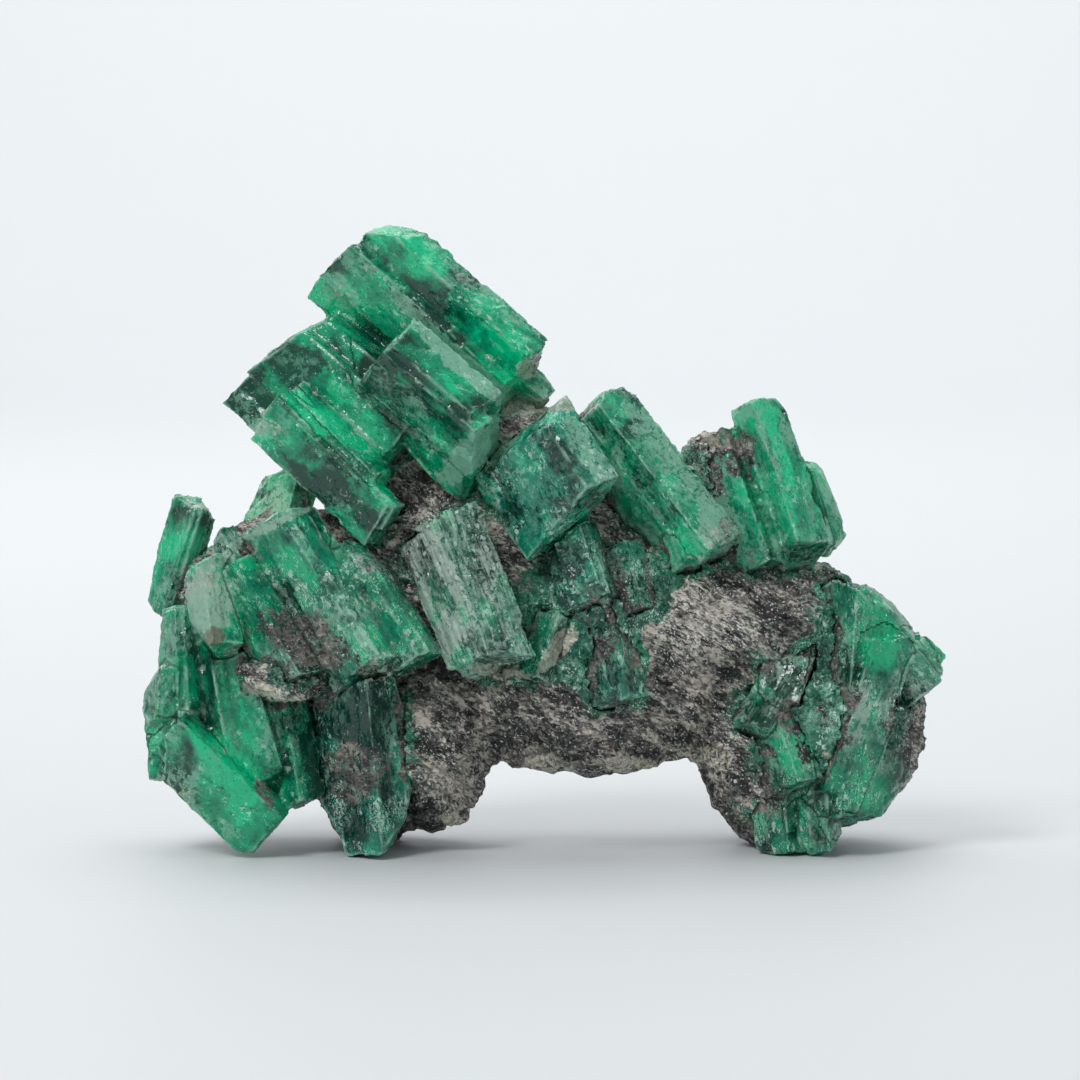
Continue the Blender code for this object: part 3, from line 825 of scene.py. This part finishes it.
MIDDLE_STAINS = (
    Patch(DEEP, (1, 76.2), (14, 12), 0, 0.35),
    Patch(VEIL, (9, 81.6), (8, 2.4), 52, 0.6),
    Patch(VEIL, (15.4, 77.2), (5, 1.5), 90, 0.6),
    Patch(ROCK, (12, 70.6), (5, 3), -40, 0.5),
    Patch(CREAM, (5, 90.2), (6, 1.4), 0, 0.9),
    Patch(DEEP, (19.4, 80.2), (10, 3), 68, 0.55),
    Patch(BRIGHT, (15, 89.6), (4, 4), 0, 0.8),
    Patch(VEIL, (28, 79.2), (18, 4.2), 50, 0.6),
    Patch(VEIL, (36.4, 65.6), (7, 4), 50, 0.7),
    Patch(CREAM, (35, 63.6), (4, 2.4), 50, 0.4),
    Patch(ROCK, (38, 64.6), (4, 2.4), 50, 0.45),
    Patch(BRIGHT, (28.6, 62.2), (5, 2.5), 0, 0.6),
    Patch(VEIL, (-20, 59.2), (14, 1.8), 62, 0.8),
    Patch(VEIL, (-18.6, 44.8), (5, 3), 90, 0.7),
    Patch(DEEP, (4.4, 59.2), (5, 5), 0, 0.9),
    Patch(ROCK, (0, 53.2), (10, 6), 0, -0.7),
    Patch(ROCK, (20, 53.2), (8, 7), 90, -0.8),
    Patch(ROCK, (12, 39.2), (11, 8), 0, -0.85),
    Patch(DEEP, (15, 35.2), (7, 5), 0, 0.7),
    Patch(ROCK, (-4, 43.2), (8, 8), 0, -0.6),
    Patch(CREAM, (3.2, 41.4), (5, 2.2), -50, 1.0),
    Patch(CREAM, (-8, 36.8), (7, 1.5), 8, 0.7),
)
RIDGE_STAINS = (
    Patch(BRIGHT, (42.4, 88.8), (6, 3), 0, 0.9),
    Patch(VEIL, (41, 89.6), (4, 2), 0, 0.5),
    Patch(ROCK, (35.6, 83.0), (7, 3), 8, 0.8),
    Patch(CREAM, (35.6, 83.6), (6, 2.2), 8, 0.6),
    Patch(ROCK, (39.6, 78.8), (4, 3), 90, 0.6),
    Patch(DEEP, (37.6, 73.8), (6, 5), 55, 0.35),
    Patch(BRIGHT, (48.4, 80.2), (7, 1.2), 70, 0.9),
    Patch(VEIL, (45.6, 82.2), (8, 1), 68, 0.7),
    Patch(VEIL, (50, 85.2), (7, 1), 65, 0.6),
    Patch(VEIL, (57.6, 73.2), (6, 2), 65, 0.7),
    Patch(ROCK, (53, 66.2), (5, 3), 0, 0.3),
    Patch(DEEP, (52, 60.8), (7, 1.8), 0, 0.4),
    Patch(BRIGHT, (40, 59.2), (6, 2.5), 0, 0.3),
)
LEFT_STAINS = (
    Patch(CREAM, (-68, 54.2), (4, 3), 0, 0.4),
    Patch(VEIL, (-66.4, 50.2), (8, 6), 90, 1.0),
    Patch(BRIGHT, (-65.6, 48.8), (8, 5), 90, 1.2),
    Patch(VEIL, (-67.4, 50.8), (6, 4), 90, 0.6),
    Patch(RUST, (-65, 44), (2.4, 2), 0, 0.8),
    Patch(BRIGHT, (-55.2, 60.6), (5, 4), 0, 0.6),
    Patch(BRIGHT, (-46.4, 60.2), (6, 5), 0, 0.8),
    Patch(VEIL, (-33.8, 59.2), (4, 3), 0, 0.7),
    Patch(ROCK, (-33.8, 59.2), (3.4, 2.6), 0, 0.4),
    Patch(ROCK, (-46.4, 43.2), (12, 5), 20, 0.65),
    Patch(VEIL, (-37.4, 47.2), (7, 6), 0, 0.6),
    Patch(CREAM, (-33.8, 37.2), (4, 2.5), 0, 0.5),
    Patch(VEIL, (-52.2, 66.8), (9, 0.9), -25, 0.9),
    Patch(VEIL, (-64, 61.6), (4, 3), 0, 0.7),
    Patch(BRIGHT, (-70.4, 60.8), (5, 4), 90, 0.8),
    Patch(DEEP, (-69, 68.2), (5, 2.5), 0, 0.5),
    Patch(VEIL, (-76, 52), (4, 3), 90, 0.7),
    Patch(VEIL, (-54.4, 70.2), (6, 5), 90, 0.6),
    Patch(BRIGHT, (-50, 68.2), (4, 4), 0, 0.6),
    Patch(CREAM, (-55.2, 33.2), (6, 1.6), 15, 0.7),
)
LEFT_FOOT_STAINS = (
    Patch(VEIL, (-74, 43.2), (5, 4), 90, 0.6),
    Patch(BRIGHT, (-71.8, 36.8), (6, 4), 60, 0.7),
    Patch(VEIL, (-77, 33.2), (4, 3.5), 0, 0.7),
    Patch(VEIL, (-76, 26.2), (4, 4), 0, 0.5),
    Patch(BRIGHT, (-62.8, 18.2), (11, 3.8), 47, 1.2),
    Patch(VEIL, (-72.4, 13.2), (5, 4), 40, 0.9),
    Patch(CREAM, (-73, 13.6), (3.4, 2.4), 40, 0.4),
    Patch(VEIL, (-66, 6.8), (7, 2.4), 30, 0.7),
    Patch(DEEP, (-55.6, 30.2), (8, 4.5), 35, 0.5),
    Patch(VEIL, (-55.6, 23.6), (9, 4), 0, 0.3),
    Patch(ROCK, (-55, 12.2), (4, 1.4), 60, 0.6),
    Patch(DEEP, (-37.6, 28.4), (9.5, 5.5), 0, 1.1),
    Patch(ROCK, (-37, 16.8), (8, 6), 0, 0.6),
    Patch(PALE, (-17, 15.2), (9, 6), 90, 0.5),
    Patch(CREAM, (-8, 13.2), (6, 2.5), -40, 0.5),
    Patch(CREAM, (-18.2, 7), (3, 1.6), 0, 0.7),
)
SCHIST_STAINS = (
    Patch(PALE, (32, 45.6), (12, 9), 0, 0.9),
    Patch(PALE, (50, 51.6), (8, 4), 0, -0.7),
    Patch(PALE, (-12, 31.2), (9, 4), 0, -0.7),
    Patch(PALE, (23, 30.2), (10, 5), 0, -0.5),
    Patch(CREAM, (17.2, 18), (8, 1.6), 0, 0.62),
    Patch(CREAM, (0.6, 17.2), (3.5, 1.8), 0, 0.66),
    Patch(CREAM, (35, 19.6), (5, 3.5), 0, 0.5),
)
RIGHT_FOOT_STAINS = (
    Patch(ROCK, (63, 31), (15, 24), 0, -1.0),
    Patch(ROCK, (75.6, 20), (3.4, 11), 0, 1.2),
    Patch(ROCK, (62.4, 48.8), (3.5, 3.5), 0, 0.6),
    Patch(DEEP, (49, 36), (6.5, 3.4), 60, 2.0),
    Patch(DEEP, (46.4, 28.8), (6.5, 3.0), -10, 1.8),
    Patch(BRIGHT, (49.6, 21.4), (6, 4.2), 0, 0.9),
    Patch(BRIGHT, (68.2, 42), (5, 3.5), 90, 0.8),
    Patch(BRIGHT, (66.2, 51.2), (4, 2), 50, 0.5),
    Patch(VEIL, (73, 47.6), (8, 1.8), 50, 0.6),
    Patch(VEIL, (75.6, 36), (4, 3), 0, 0.6),
    Patch(ROCK, (62, 28.8), (9, 5), 0, 0.5),
    Patch(VEIL, (62, 28.8), (10, 6), 0, 0.4),
    Patch(BRIGHT, (61.6, 16.8), (6, 5), 0, 0.25),
    Patch(VEIL, (56.4, 5.6), (5, 4), 90, 0.4),
    Patch(ROCK, (46.4, 11.2), (7, 4), 40, 0.4),
)
STAINS = (
    *CROWN_STAINS, *TOWER_STAINS, *MIDDLE_STAINS, *RIDGE_STAINS, *LEFT_STAINS, *LEFT_FOOT_STAINS,
    *SCHIST_STAINS, *RIGHT_FOOT_STAINS,
)


# ------------------------------------------------------------------------------- the pieces


@dataclass
class Piece:
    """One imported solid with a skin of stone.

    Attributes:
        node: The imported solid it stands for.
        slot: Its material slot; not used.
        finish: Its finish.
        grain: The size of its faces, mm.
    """

    node: str
    slot: Slot
    finish: StoneFinish
    grain: float = 0.41

    def dress(self, skin: Skin, masks: dict[Stain, np.ndarray],
              groups: dict[str, bpy.types.NodeTree]) -> None:
        """Gives the skin its stains and its material, hangs it on the body and hides the imported solid.

        Args:
            skin: The finished skin.
            masks: How much of each stain every point has.
            groups: The shared node groups by name.
        """
        for stain, values in masks.items():
            most = MOST_DEPTH if stain in (VEIL, DEEP) else MOST_STAIN
            skin.paint(stain.value, np.clip(values, 0, most))
        obj = skin.obj
        pick(obj)
        bpy.ops.object.shade_smooth_by_angle(angle=SHARPEST_SMOOTHED)
        obj.data.materials.append(self.finish.material(groups))
        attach(obj, BODY)
        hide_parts(self.node)
        LOG.info("%s: %d faces", obj.name, len(obj.data.polygons))


@dataclass
class Crystals(Piece):
    """One crystal, or a group that grew through one another.

    Attributes:
        axes: The prisms' axes.
        plates: How deep the broken plates on its faces are, mm.
        grooves: How deep the growth grooves are, mm.
        chips: How deep its edges are chipped, mm.
        bright: How clear it is, and how much painted glow it has, away from any stain.
        veil: How milky it is away from any stain.
        crust: How far the schist climbs up it, mm.
    """

    axes: tuple[Axis, ...] = ()
    plates: float = 0.34
    grooves: float = 0.05
    chips: float = 0.75
    bright: float = 0.0
    veil: float = 0.0
    crust: float = 2.5

    def growth(self, skin: Skin) -> tuple[np.ndarray, np.ndarray]:
        """Finds each point's place along and across the prism it belongs to.

        Args:
            skin: The piece's skin.

        Returns:
            The place (across, deep, along) in mm, and 1 on a prism face but 0 on an end.
        """
        best = np.full(len(skin.points), FAR)
        place, sides = np.zeros_like(skin.points), np.ones(len(skin.points))
        for i, prism in enumerate(self.axes):
            start, end = (np.array(p) + DRAWING_TO_ROW for p in (prism.start, prism.end))
            length = float(np.linalg.norm(end - start))
            axis = (end - start) / length
            deep = np.cross(axis, (1.0, 0.0, 0.0))
            deep /= np.linalg.norm(deep)
            across = np.cross(deep, axis)
            offset = skin.points - start
            along = offset @ axis
            away = np.linalg.norm(offset - along[:, None] * axis, axis=1)
            beyond = np.maximum(0, np.maximum(-along, along - length))
            score = (away + beyond) / prism.radius
            mine = score < best
            best[mine] = score[mine]
            local = np.stack((offset @ across, offset @ deep, along), axis=1) + 37.0 * i
            place[mine] = local[mine]
            sides[mine] = (1 - ease(np.abs(skin.normals @ axis), 0.45, 0.8))[mine]
        return place, sides

    def work(self, skin: Skin, place: np.ndarray, sides: np.ndarray, outer: np.ndarray) -> None:
        """Breaks and wears the faces.

        Args:
            skin: The piece's skin.
            place: Each point's place in its prism, mm.
            sides: 1 on a prism face, 0 on an end.
            outer: Each point's distance from an outer edge, mm.
        """
        wavy = place + 0.5 * np.stack([swell(skin.points / 3.1, seed) for seed in (3, 4, 5)], axis=1)
        plate, _ = voronoi_cells(wavy / (4.4, 4.4, 10.0))
        chip, _ = voronoi_cells(wavy / (1.7, 1.7, 3.4))
        broken = ease(swell(skin.points / 6.5, 25), -0.1, 0.45)
        amount = self.plates * (plate - 0.8) + 0.6 * self.plates * broken * (chip - 0.6)
        groove = swell(place / (0.95, 0.95, 17.0), 11)
        amount -= self.grooves * sides * ease(np.abs(groove), 0.42, 0.0)
        bite = ease(swell(skin.points / 3.4, 21) + 0.4 * swell(skin.points / 1.2, 22), 0.15, 0.6)
        amount -= self.chips * bite * ease(outer, 1.5, 0.2)
        amount += 0.16 * rough(skin.points / 4.5, 2, 31) + 0.04 * rough(skin.points / 1.3, 2, 33)
        amount += 0.16 * (1 - sides) * rough(skin.points / 1.1, 2, 35)
        skin.push(amount)
        skin.paint("facet", plate - 0.5 + 0.7 * broken * (chip - 0.5))

    def masks(self, skin: Skin, place: np.ndarray, inner: np.ndarray,
              root: np.ndarray) -> dict[Stain, np.ndarray]:
        """Works out the stains on the crystals.

        Args:
            skin: The piece's skin.
            place: Each point's place in its prism, mm.
            inner: Each point's distance from an inner corner, mm.
            root: Each point's distance from the schist, mm.

        Returns:
            For each stain, one value a point.
        """
        masks = stain_masks(skin, STAINS)
        patchy, ragged = rough(skin.points / 11, 3, 51), rough(skin.points / 3.0, 3, 55)
        # The bright mask: clear beryl and painted glow, here also raised evenly and at random.
        masks[BRIGHT] += self.bright + 0.22 * patchy
        # Deep beryl at random, and painted shade in the inner corners where crystals meet.
        masks[DEEP] += 0.10 * rough(skin.points / 8, 2, 57) + 0.25 * ease(inner, 2.2, 0.2)
        masks[VEIL] += self.veil + 0.45 * ease(rough(place / (4, 4, 9), 3, 61), 0.2, 0.8)
        masks[ROCK] = np.maximum(masks[ROCK], 0)
        near = root + self.crust * 0.9 * ragged
        masks[ROCK] += 0.75 * ease(near, self.crust, 0.0)
        masks[VEIL] += 0.6 * ease(near, 2.2 * self.crust, 0.3 * self.crust)
        masks[ROCK] += 0.3 * ease(inner, 1.3, 0.1) * ease(ragged, -0.1, 0.5)
        return masks

    def build(self, nodes: dict[str, bpy.types.Object], groups: dict[str, bpy.types.NodeTree],
              matrix: BVHTree) -> None:
        """Makes the piece.

        Args:
            nodes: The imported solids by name.
            groups: The shared node groups by name.
            matrix: The schist's surface, mm.
        """
        solid = merged_copy(nodes[self.node], f"{self.node}_stone")
        outer_points, inner_points = (edge_points(solid.data, convex) for convex in (True, False))
        skin = fine_skin(solid, self.grain)
        outer, inner = nearness(skin.points, outer_points), nearness(skin.points, inner_points)
        place, sides = self.growth(skin)
        masks = self.masks(skin, place, inner, gaps(skin.points, matrix, 12.0))
        self.work(skin, place, sides, outer)
        skin.paint("grow", place * MM)
        skin.paint("sheet", skin.points * MM)
        skin.paint("prism_face", sides)
        # The edge mask: chipped wear and a painted highlight along the outer edges.
        skin.paint("edge", ease(outer, 0.8, 0.1) * ease(rough(skin.points / 4, 2, 71), -0.5, 0.5))
        self.dress(skin, masks, groups)


@dataclass
class Schist(Piece):
    """The matrix.

    Attributes:
        ledges: How far its cleavage ledges stand out, mm.
        grit: How rough it is between them, mm.
    """

    ledges: float = 0.55
    grit: float = 0.22

    @staticmethod
    def sheets(points: np.ndarray) -> np.ndarray:
        """Each point's place in the wavy stack of cleavage sheets, mm."""
        wave = 3.0 * swell(points / 24, 81)
        stack = points[:, 2] + 0.32 * points[:, 0] + 0.25 * points[:, 1] + wave
        return np.stack((points[:, 0], points[:, 1], stack), axis=1)

    def build(self, nodes: dict[str, bpy.types.Object], groups: dict[str, bpy.types.NodeTree],
              crystals: BVHTree) -> None:
        """Makes the piece.

        Args:
            nodes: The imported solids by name.
            groups: The shared node groups by name.
            crystals: The surface of all crystals, mm.
        """
        skin = fine_skin(merged_copy(nodes[self.node], f"{self.node}_stone"), self.grain)
        contact = gaps(skin.points, crystals, 8.0)
        stack = self.sheets(skin.points)
        masks = stain_masks(skin, STAINS)
        ragged = rough(skin.points / 3.4, 3, 91)
        masks[ROCK] += 1.1
        masks[ROCK] -= 0.75 * ease(contact + 2.0 * ragged, 4.0, 0.5)
        masks[PALE] += 0.25 * rough(skin.points / 9, 3, 93) + 0.5 * ease(contact, 5.0, 0.5)
        masks[CREAM] += 0.5 * ease(rough(skin.points / (7, 7, 4), 3, 95), 0.62, 0.95)
        masks[VEIL] += 0.35 + 0.3 * ragged
        masks[BRIGHT] += 0.15 * rough(skin.points / 6, 2, 97)
        sheet = swell(stack / (8, 8, 1.5), 101) + 0.5 * swell(stack / (4, 4, 0.8), 102)
        _, wall = voronoi_cells(stack / (3.0, 3.0, 1.9))
        amount = self.ledges * sheet + 0.9 * rough(skin.points / 6, 3, 103)
        amount -= 0.6 * ease(wall, 0.16, 0.0)
        amount -= 0.8 * ease(np.abs(swell(stack / (17, 17, 3.6), 105)), 0.12, 0.0)
        amount += self.grit * rough(skin.points / 1.5, 2, 107)
        amount += 0.5 * ease(contact, 2.0, 0.3)
        amount += 0.5 * np.clip(masks[CREAM], 0, 1) * ease(ragged, -0.2, 0.4)
        skin.push(amount)
        skin.paint("grow", skin.points * MM)
        skin.paint("sheet", stack * MM)
        skin.paint("prism_face", np.full(len(stack), 0.4))
        skin.paint("edge", np.zeros(len(stack)))
        skin.paint("facet", np.zeros(len(stack)))
        self.dress(skin, masks, groups)


# ------------------------------------------------------------------------------- the studio


@dataclass(frozen=True)
class Studio:
    """A pale floor that sweeps up behind, soft lights and a long lens level with the specimen.

    Attributes:
        lens: The focal length, mm.
        aim: The point the camera looks at, m.
    """

    lens: float = 200.0
    aim: tuple[float, float, float] = (-0.00088, -0.01545, 0.0632)

    @staticmethod
    def floor() -> None:
        """Builds the floor with its sweep."""
        deselect()
        bpy.ops.mesh.primitive_plane_add(size=6.0, location=(0, -1.2, 0))
        obj = bpy.context.active_object
        obj.name = "floor"
        bpy.ops.object.mode_set(mode="EDIT")
        bpy.ops.mesh.select_mode(type="EDGE")
        bpy.ops.mesh.select_all(action="DESELECT")
        bm = bmesh.from_edit_mesh(obj.data)
        for edge in bm.edges:
            edge.select_set(all(v.co.y > 2.9 for v in edge.verts))
        bmesh.update_edit_mesh(obj.data)
        steps, radius = 12, 0.9
        for step in range(steps):
            angle = (step + 0.5) / steps * math.pi / 2
            stride = radius * math.pi / 2 / steps
            move = (0, stride * math.cos(angle), stride * math.sin(angle))
            bpy.ops.mesh.extrude_edges_move(TRANSFORM_OT_translate={"value": move})
        bpy.ops.mesh.extrude_edges_move(TRANSFORM_OT_translate={"value": (0, 0, 3)})
        bpy.ops.object.mode_set(mode="OBJECT")
        bpy.ops.object.transform_apply(location=True, rotation=True, scale=True)
        bpy.ops.object.shade_smooth()
        paper = bpy.data.materials.new("pale paper")
        paper.use_nodes = True
        shader = paper.node_tree.nodes["Principled BSDF"]
        shader.inputs["Base Color"].default_value = tint(213, 216, 218)
        shader.inputs["Roughness"].default_value = 0.55
        obj.data.materials.append(paper)

    @staticmethod
    def light(name: str, place: tuple[float, float, float], size: float, power: float,
              aim: tuple[float, float, float] = (0.0, 0.0, 0.06)) -> None:
        """Adds a soft square light.

        Args:
            name: Its name.
            place: Where it is, m.
            size: Its side, m.
            power: Its power, W.
            aim: The point it looks at, m; the specimen if not given.
        """
        data = bpy.data.lights.new(name, "AREA")
        data.size, data.energy = size, power
        lamp = bpy.data.objects.new(name, data)
        bpy.context.scene.collection.objects.link(lamp)
        lamp.location = place
        lamp.rotation_euler = (Vector(aim) - Vector(place)).to_track_quat("-Z", "Y").to_euler()

    def lights(self) -> None:
        """Places the lights and the pale surroundings."""
        self.light("key", (-0.6, -0.9, 1.1), 0.5, 10)
        self.light("fill", (1.1, -0.9, 0.7), 1.0, 1.5)
        self.light("top", (0.1, 0.25, 1.2), 0.9, 5)
        self.light("rim", (-0.9, 0.9, 0.7), 0.7, 3)
        self.light("backdrop", (0, 1.5, 2.0), 1.6, 37, aim=(0, 2.9, 0.35))
        world = bpy.data.worlds.new("pale surroundings")
        world.use_nodes = True
        world.node_tree.nodes["Background"].inputs["Color"].default_value = (0.93, 0.97, 1.0, 1)
        world.node_tree.nodes["Background"].inputs["Strength"].default_value = 0.38
        bpy.context.scene.world = world
        bpy.context.scene.view_settings.view_transform = "Standard"

    def camera(self) -> None:
        """Places the camera."""
        data = bpy.data.cameras.new("camera")
        data.lens, data.sensor_width = self.lens, 36.0
        data.clip_start, data.clip_end = 0.05, 20.0
        obj = bpy.data.objects.new("camera", data)
        bpy.context.scene.collection.objects.link(obj)
        back = Vector((0, -math.cos(CAMERA_RISE), math.sin(CAMERA_RISE)))
        obj.location = Vector(self.aim) + CAMERA_DISTANCE * MM * back
        obj.rotation_euler = (-back).to_track_quat("-Z", "Y").to_euler()
        bpy.context.scene.camera = obj


# ------------------------------------------------------------------------------- the specimen

GEM = StoneFinish("clear emerald", flecks=0.44, grooves=0.05, rubble=0.5)
DARK_GEM = StoneFinish(
    "dark emerald", body=tint(12, 154, 122), bright=tint(0, 204, 154), deep=tint(0, 62, 52), flecks=0.75,
    grooves=0.06, rubble=1.0,
)
MISTY = StoneFinish(
    "misty beryl", body=tint(26, 154, 118), bright=tint(8, 206, 144), veil=tint(176, 212, 192), flecks=0.6,
    grooves=0.05, rubble=0.8,
)
GROOVED = StoneFinish(
    "grooved beryl", body=tint(58, 142, 116), deep=tint(8, 62, 50), veil=tint(204, 226, 212), flecks=0.6,
    grooves=0.6, rubble=0.7,
)
MINT = StoneFinish(
    "mint beryl", body=tint(76, 214, 160), bright=tint(24, 214, 144), veil=tint(176, 226, 192), flecks=0.35,
    grooves=0.0, rubble=0.25, glow=0.2, transmission=0.2,
)
ROCK_FINISH = StoneFinish(
    "mica schist", body=tint(22, 112, 86), bright=tint(10, 146, 104), flecks=0.6, grooves=0.0, bump=0.45,
    transmission=0.0, rocky=True, cover=0.85,
)

PIECES = (
    Crystals("tower_crystals", Slot.EMERALD, GEM, axes=(
        Axis((-36.6, 5, 121.2), (-4.2, -3, 92.4), 11.5), Axis((-54.4, 3, 98.5), (-29.8, -8, 78.4), 12),
        Axis((-31.9, -12, 99.3), (-11.3, -16.3, 81.8), 10),
        Axis((-54.6, -10, 87.6), (-31.3, -17, 66.3), 5.6),
        Axis((-50.3, -8, 91.3), (-32.2, -15, 74.4), 4.8), Axis((-5.7, -3, 96.3), (1.2, -4, 90.7), 4.2)),
        bright=0.12),
    Crystals("block_crystal", Slot.EMERALD, DARK_GEM, axes=(Axis((-4, -14, 84.3), (7.2, -20, 67.5), 11),),
             bright=0.25, veil=0.3),
    Crystals("leaning_crystal", Slot.EMERALD, GEM, axes=(
        Axis((10.5, -2, 89.4), (34.3, -13, 58.7), 8.8), Axis((24.9, -10, 70.9), (29.6, -17, 57.9), 4.4)),
        bright=0.2, veil=0.4, grooves=0.22),
    Crystals("right_ridge_crystals", Slot.EMERALD, GEM, axes=(
        Axis((42.9, -2, 89.6), (53, -10, 59.2), 7), Axis((34, 0, 82.2), (43.7, -8, 56.3), 6.7),
        Axis((53.9, 0, 77.9), (58.6, -6, 60.2), 4.6)), bright=0.2, veil=0.35),
    Crystals("striated_crystal", Slot.PALE, GROOVED, axes=(Axis((-20.4, -17, 66.7), (-9.5, -24, 39.2), 9),),
             grooves=0.5, plates=0.4, veil=0.5),
    Crystals("left_block_crystals", Slot.PALE, MISTY, axes=(
        Axis((-52.9, -13, 66.7), (-33.6, -22, 37), 8), Axis((-39, -14, 61.3), (-24.5, -21, 38.7), 6.6),
        Axis((-61.5, -13, 56.6), (-47.8, -20, 34.9), 6.5), Axis((-66.6, -12, 59), (-63.8, -19, 41.2), 6.5),
        Axis((-64.1, -10, 64.1), (-60, -14, 55.5), 3.7)), plates=0.4, crust=3.5),
    Crystals("left_point_crystal", Slot.EMERALD, GEM, axes=(Axis((-69.5, 0, 69.8), (-76.6, 4, 47.4), 5.5),),
             bright=0.3),
    Crystals("back_left_crystal", Slot.PALE, MINT, axes=(Axis((-51.1, 12, 74.8), (-54.9, 6, 60.7), 6.7),)),
    Crystals("left_foot_crystals", Slot.EMERALD, GEM, axes=(
        Axis((-74.8, -17, 24), (-54, -20, 4.5), 7), Axis((-73, -8, 49), (-71.9, -13, 25.4), 5.4),
        Axis((-75, -12, 36.5), (-76.2, -15, 26), 5), Axis((-75.3, -13, 26.6), (-74.5, -16, 15.3), 4.5),
        Axis((-66.2, -4, 44.6), (-60.3, -9, 12.2), 11), Axis((-63.6, -10, 37.9), (-55.5, -16, 13.4), 7.8),
        Axis((-52.2, -11, 32), (-48.4, -16, 10.1), 6.3))),
    Crystals("second_foot_crystal", Slot.EMERALD, DARK_GEM,
             axes=(Axis((-37.6, -15, 35.6), (-34.3, -17, 0.4), 9.5),), crust=4.0),
    Crystals("right_foot_crystals", Slot.PALE, MISTY, axes=(
        Axis((62.5, -3, 52), (59, -8, 5), 16), Axis((61.2, -7, 50.4), (76.7, -11, 31), 8.4),
        Axis((73.6, -6, 41.4), (79.6, -8, 36), 4.6), Axis((67.5, -12, 43), (58, -16, 10), 8.8),
        Axis((54.4, -14, 18), (55.9, -17, 0.2), 5.4), Axis((46.2, -16, 27.5), (50.7, -20, 13.8), 6),
        Axis((51.5, -13, 42.6), (47.2, -18, 30.4), 5), Axis((48.1, -14, 34.4), (43.2, -19, 25.3), 5.2),
        Axis((47.4, -12, 16.1), (48.4, -15, 0), 5.8)), plates=0.4, crust=3.0),
    Crystals("small_front_crystals", Slot.EMERALD, DARK_GEM, axes=(
        Axis((5.2, -14, 65.5), (10.4, -20, 50.4), 6), Axis((16.4, -14, 62.1), (19.9, -19, 48.7), 4.5),
        Axis((11.6, -16, 49.3), (16.3, -21, 31), 5.5)), bright=-0.35, crust=4.0),
    Crystals("small_left_crystal", Slot.PALE, MISTY, axes=(Axis((3.2, -17, 48.6), (-1.6, -21, 35.8), 4),)),
    Crystals("back_tall_crystals", Slot.EMERALD, GEM, axes=(
        Axis((-8, 20, 74), (2, 12, 50), 7.5), Axis((-17, 18, 66), (-8, 12, 48), 6)), grain=0.5),
    Crystals("back_low_crystal", Slot.EMERALD, GEM, axes=(Axis((-44, 27, 38), (-50, 17, 17), 7),),
             grain=0.5),
    Crystals("back_right_crystals", Slot.EMERALD, GEM, axes=(
        Axis((48, 25, 47), (58, 15, 25), 8), Axis((37, 22, 38), (44, 15, 24), 5)), grain=0.5),
)


def surface(nodes: list[bpy.types.Object]) -> BVHTree:
    """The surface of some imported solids, in mm, for measuring distances."""
    points, faces = [], []
    for node in nodes:
        first = len(points)
        points += [v.co / MM for v in node.data.vertices]
        faces += [[first + i for i in face.vertices] for face in node.data.polygons]
    return BVHTree.FromPolygons(points, faces)


def main() -> None:
    """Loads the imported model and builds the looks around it."""
    logging.basicConfig(level=logging.INFO, format="%(name)s: %(message)s")
    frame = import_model()
    deselect()
    studio = Studio()
    studio.camera()
    studio.floor()
    studio.lights()
    nodes = frame["nodes"]
    groups = {
        "beryl": beryl_group(), "schist": schist_group("schist", True),
        "thin schist": schist_group("thin schist", False), "crust": crust_group(),
    }
    schist = Schist("schist_matrix", Slot.SCHIST, ROCK_FINISH, grain=0.77)
    crystal_surface = surface([nodes[piece.node] for piece in PIECES])
    schist_surface = surface([nodes[schist.node]])
    schist.build(nodes, groups, crystal_surface)
    for piece in PIECES:
        piece.build(nodes, groups, schist_surface)


if __name__ == "__main__":
    main()
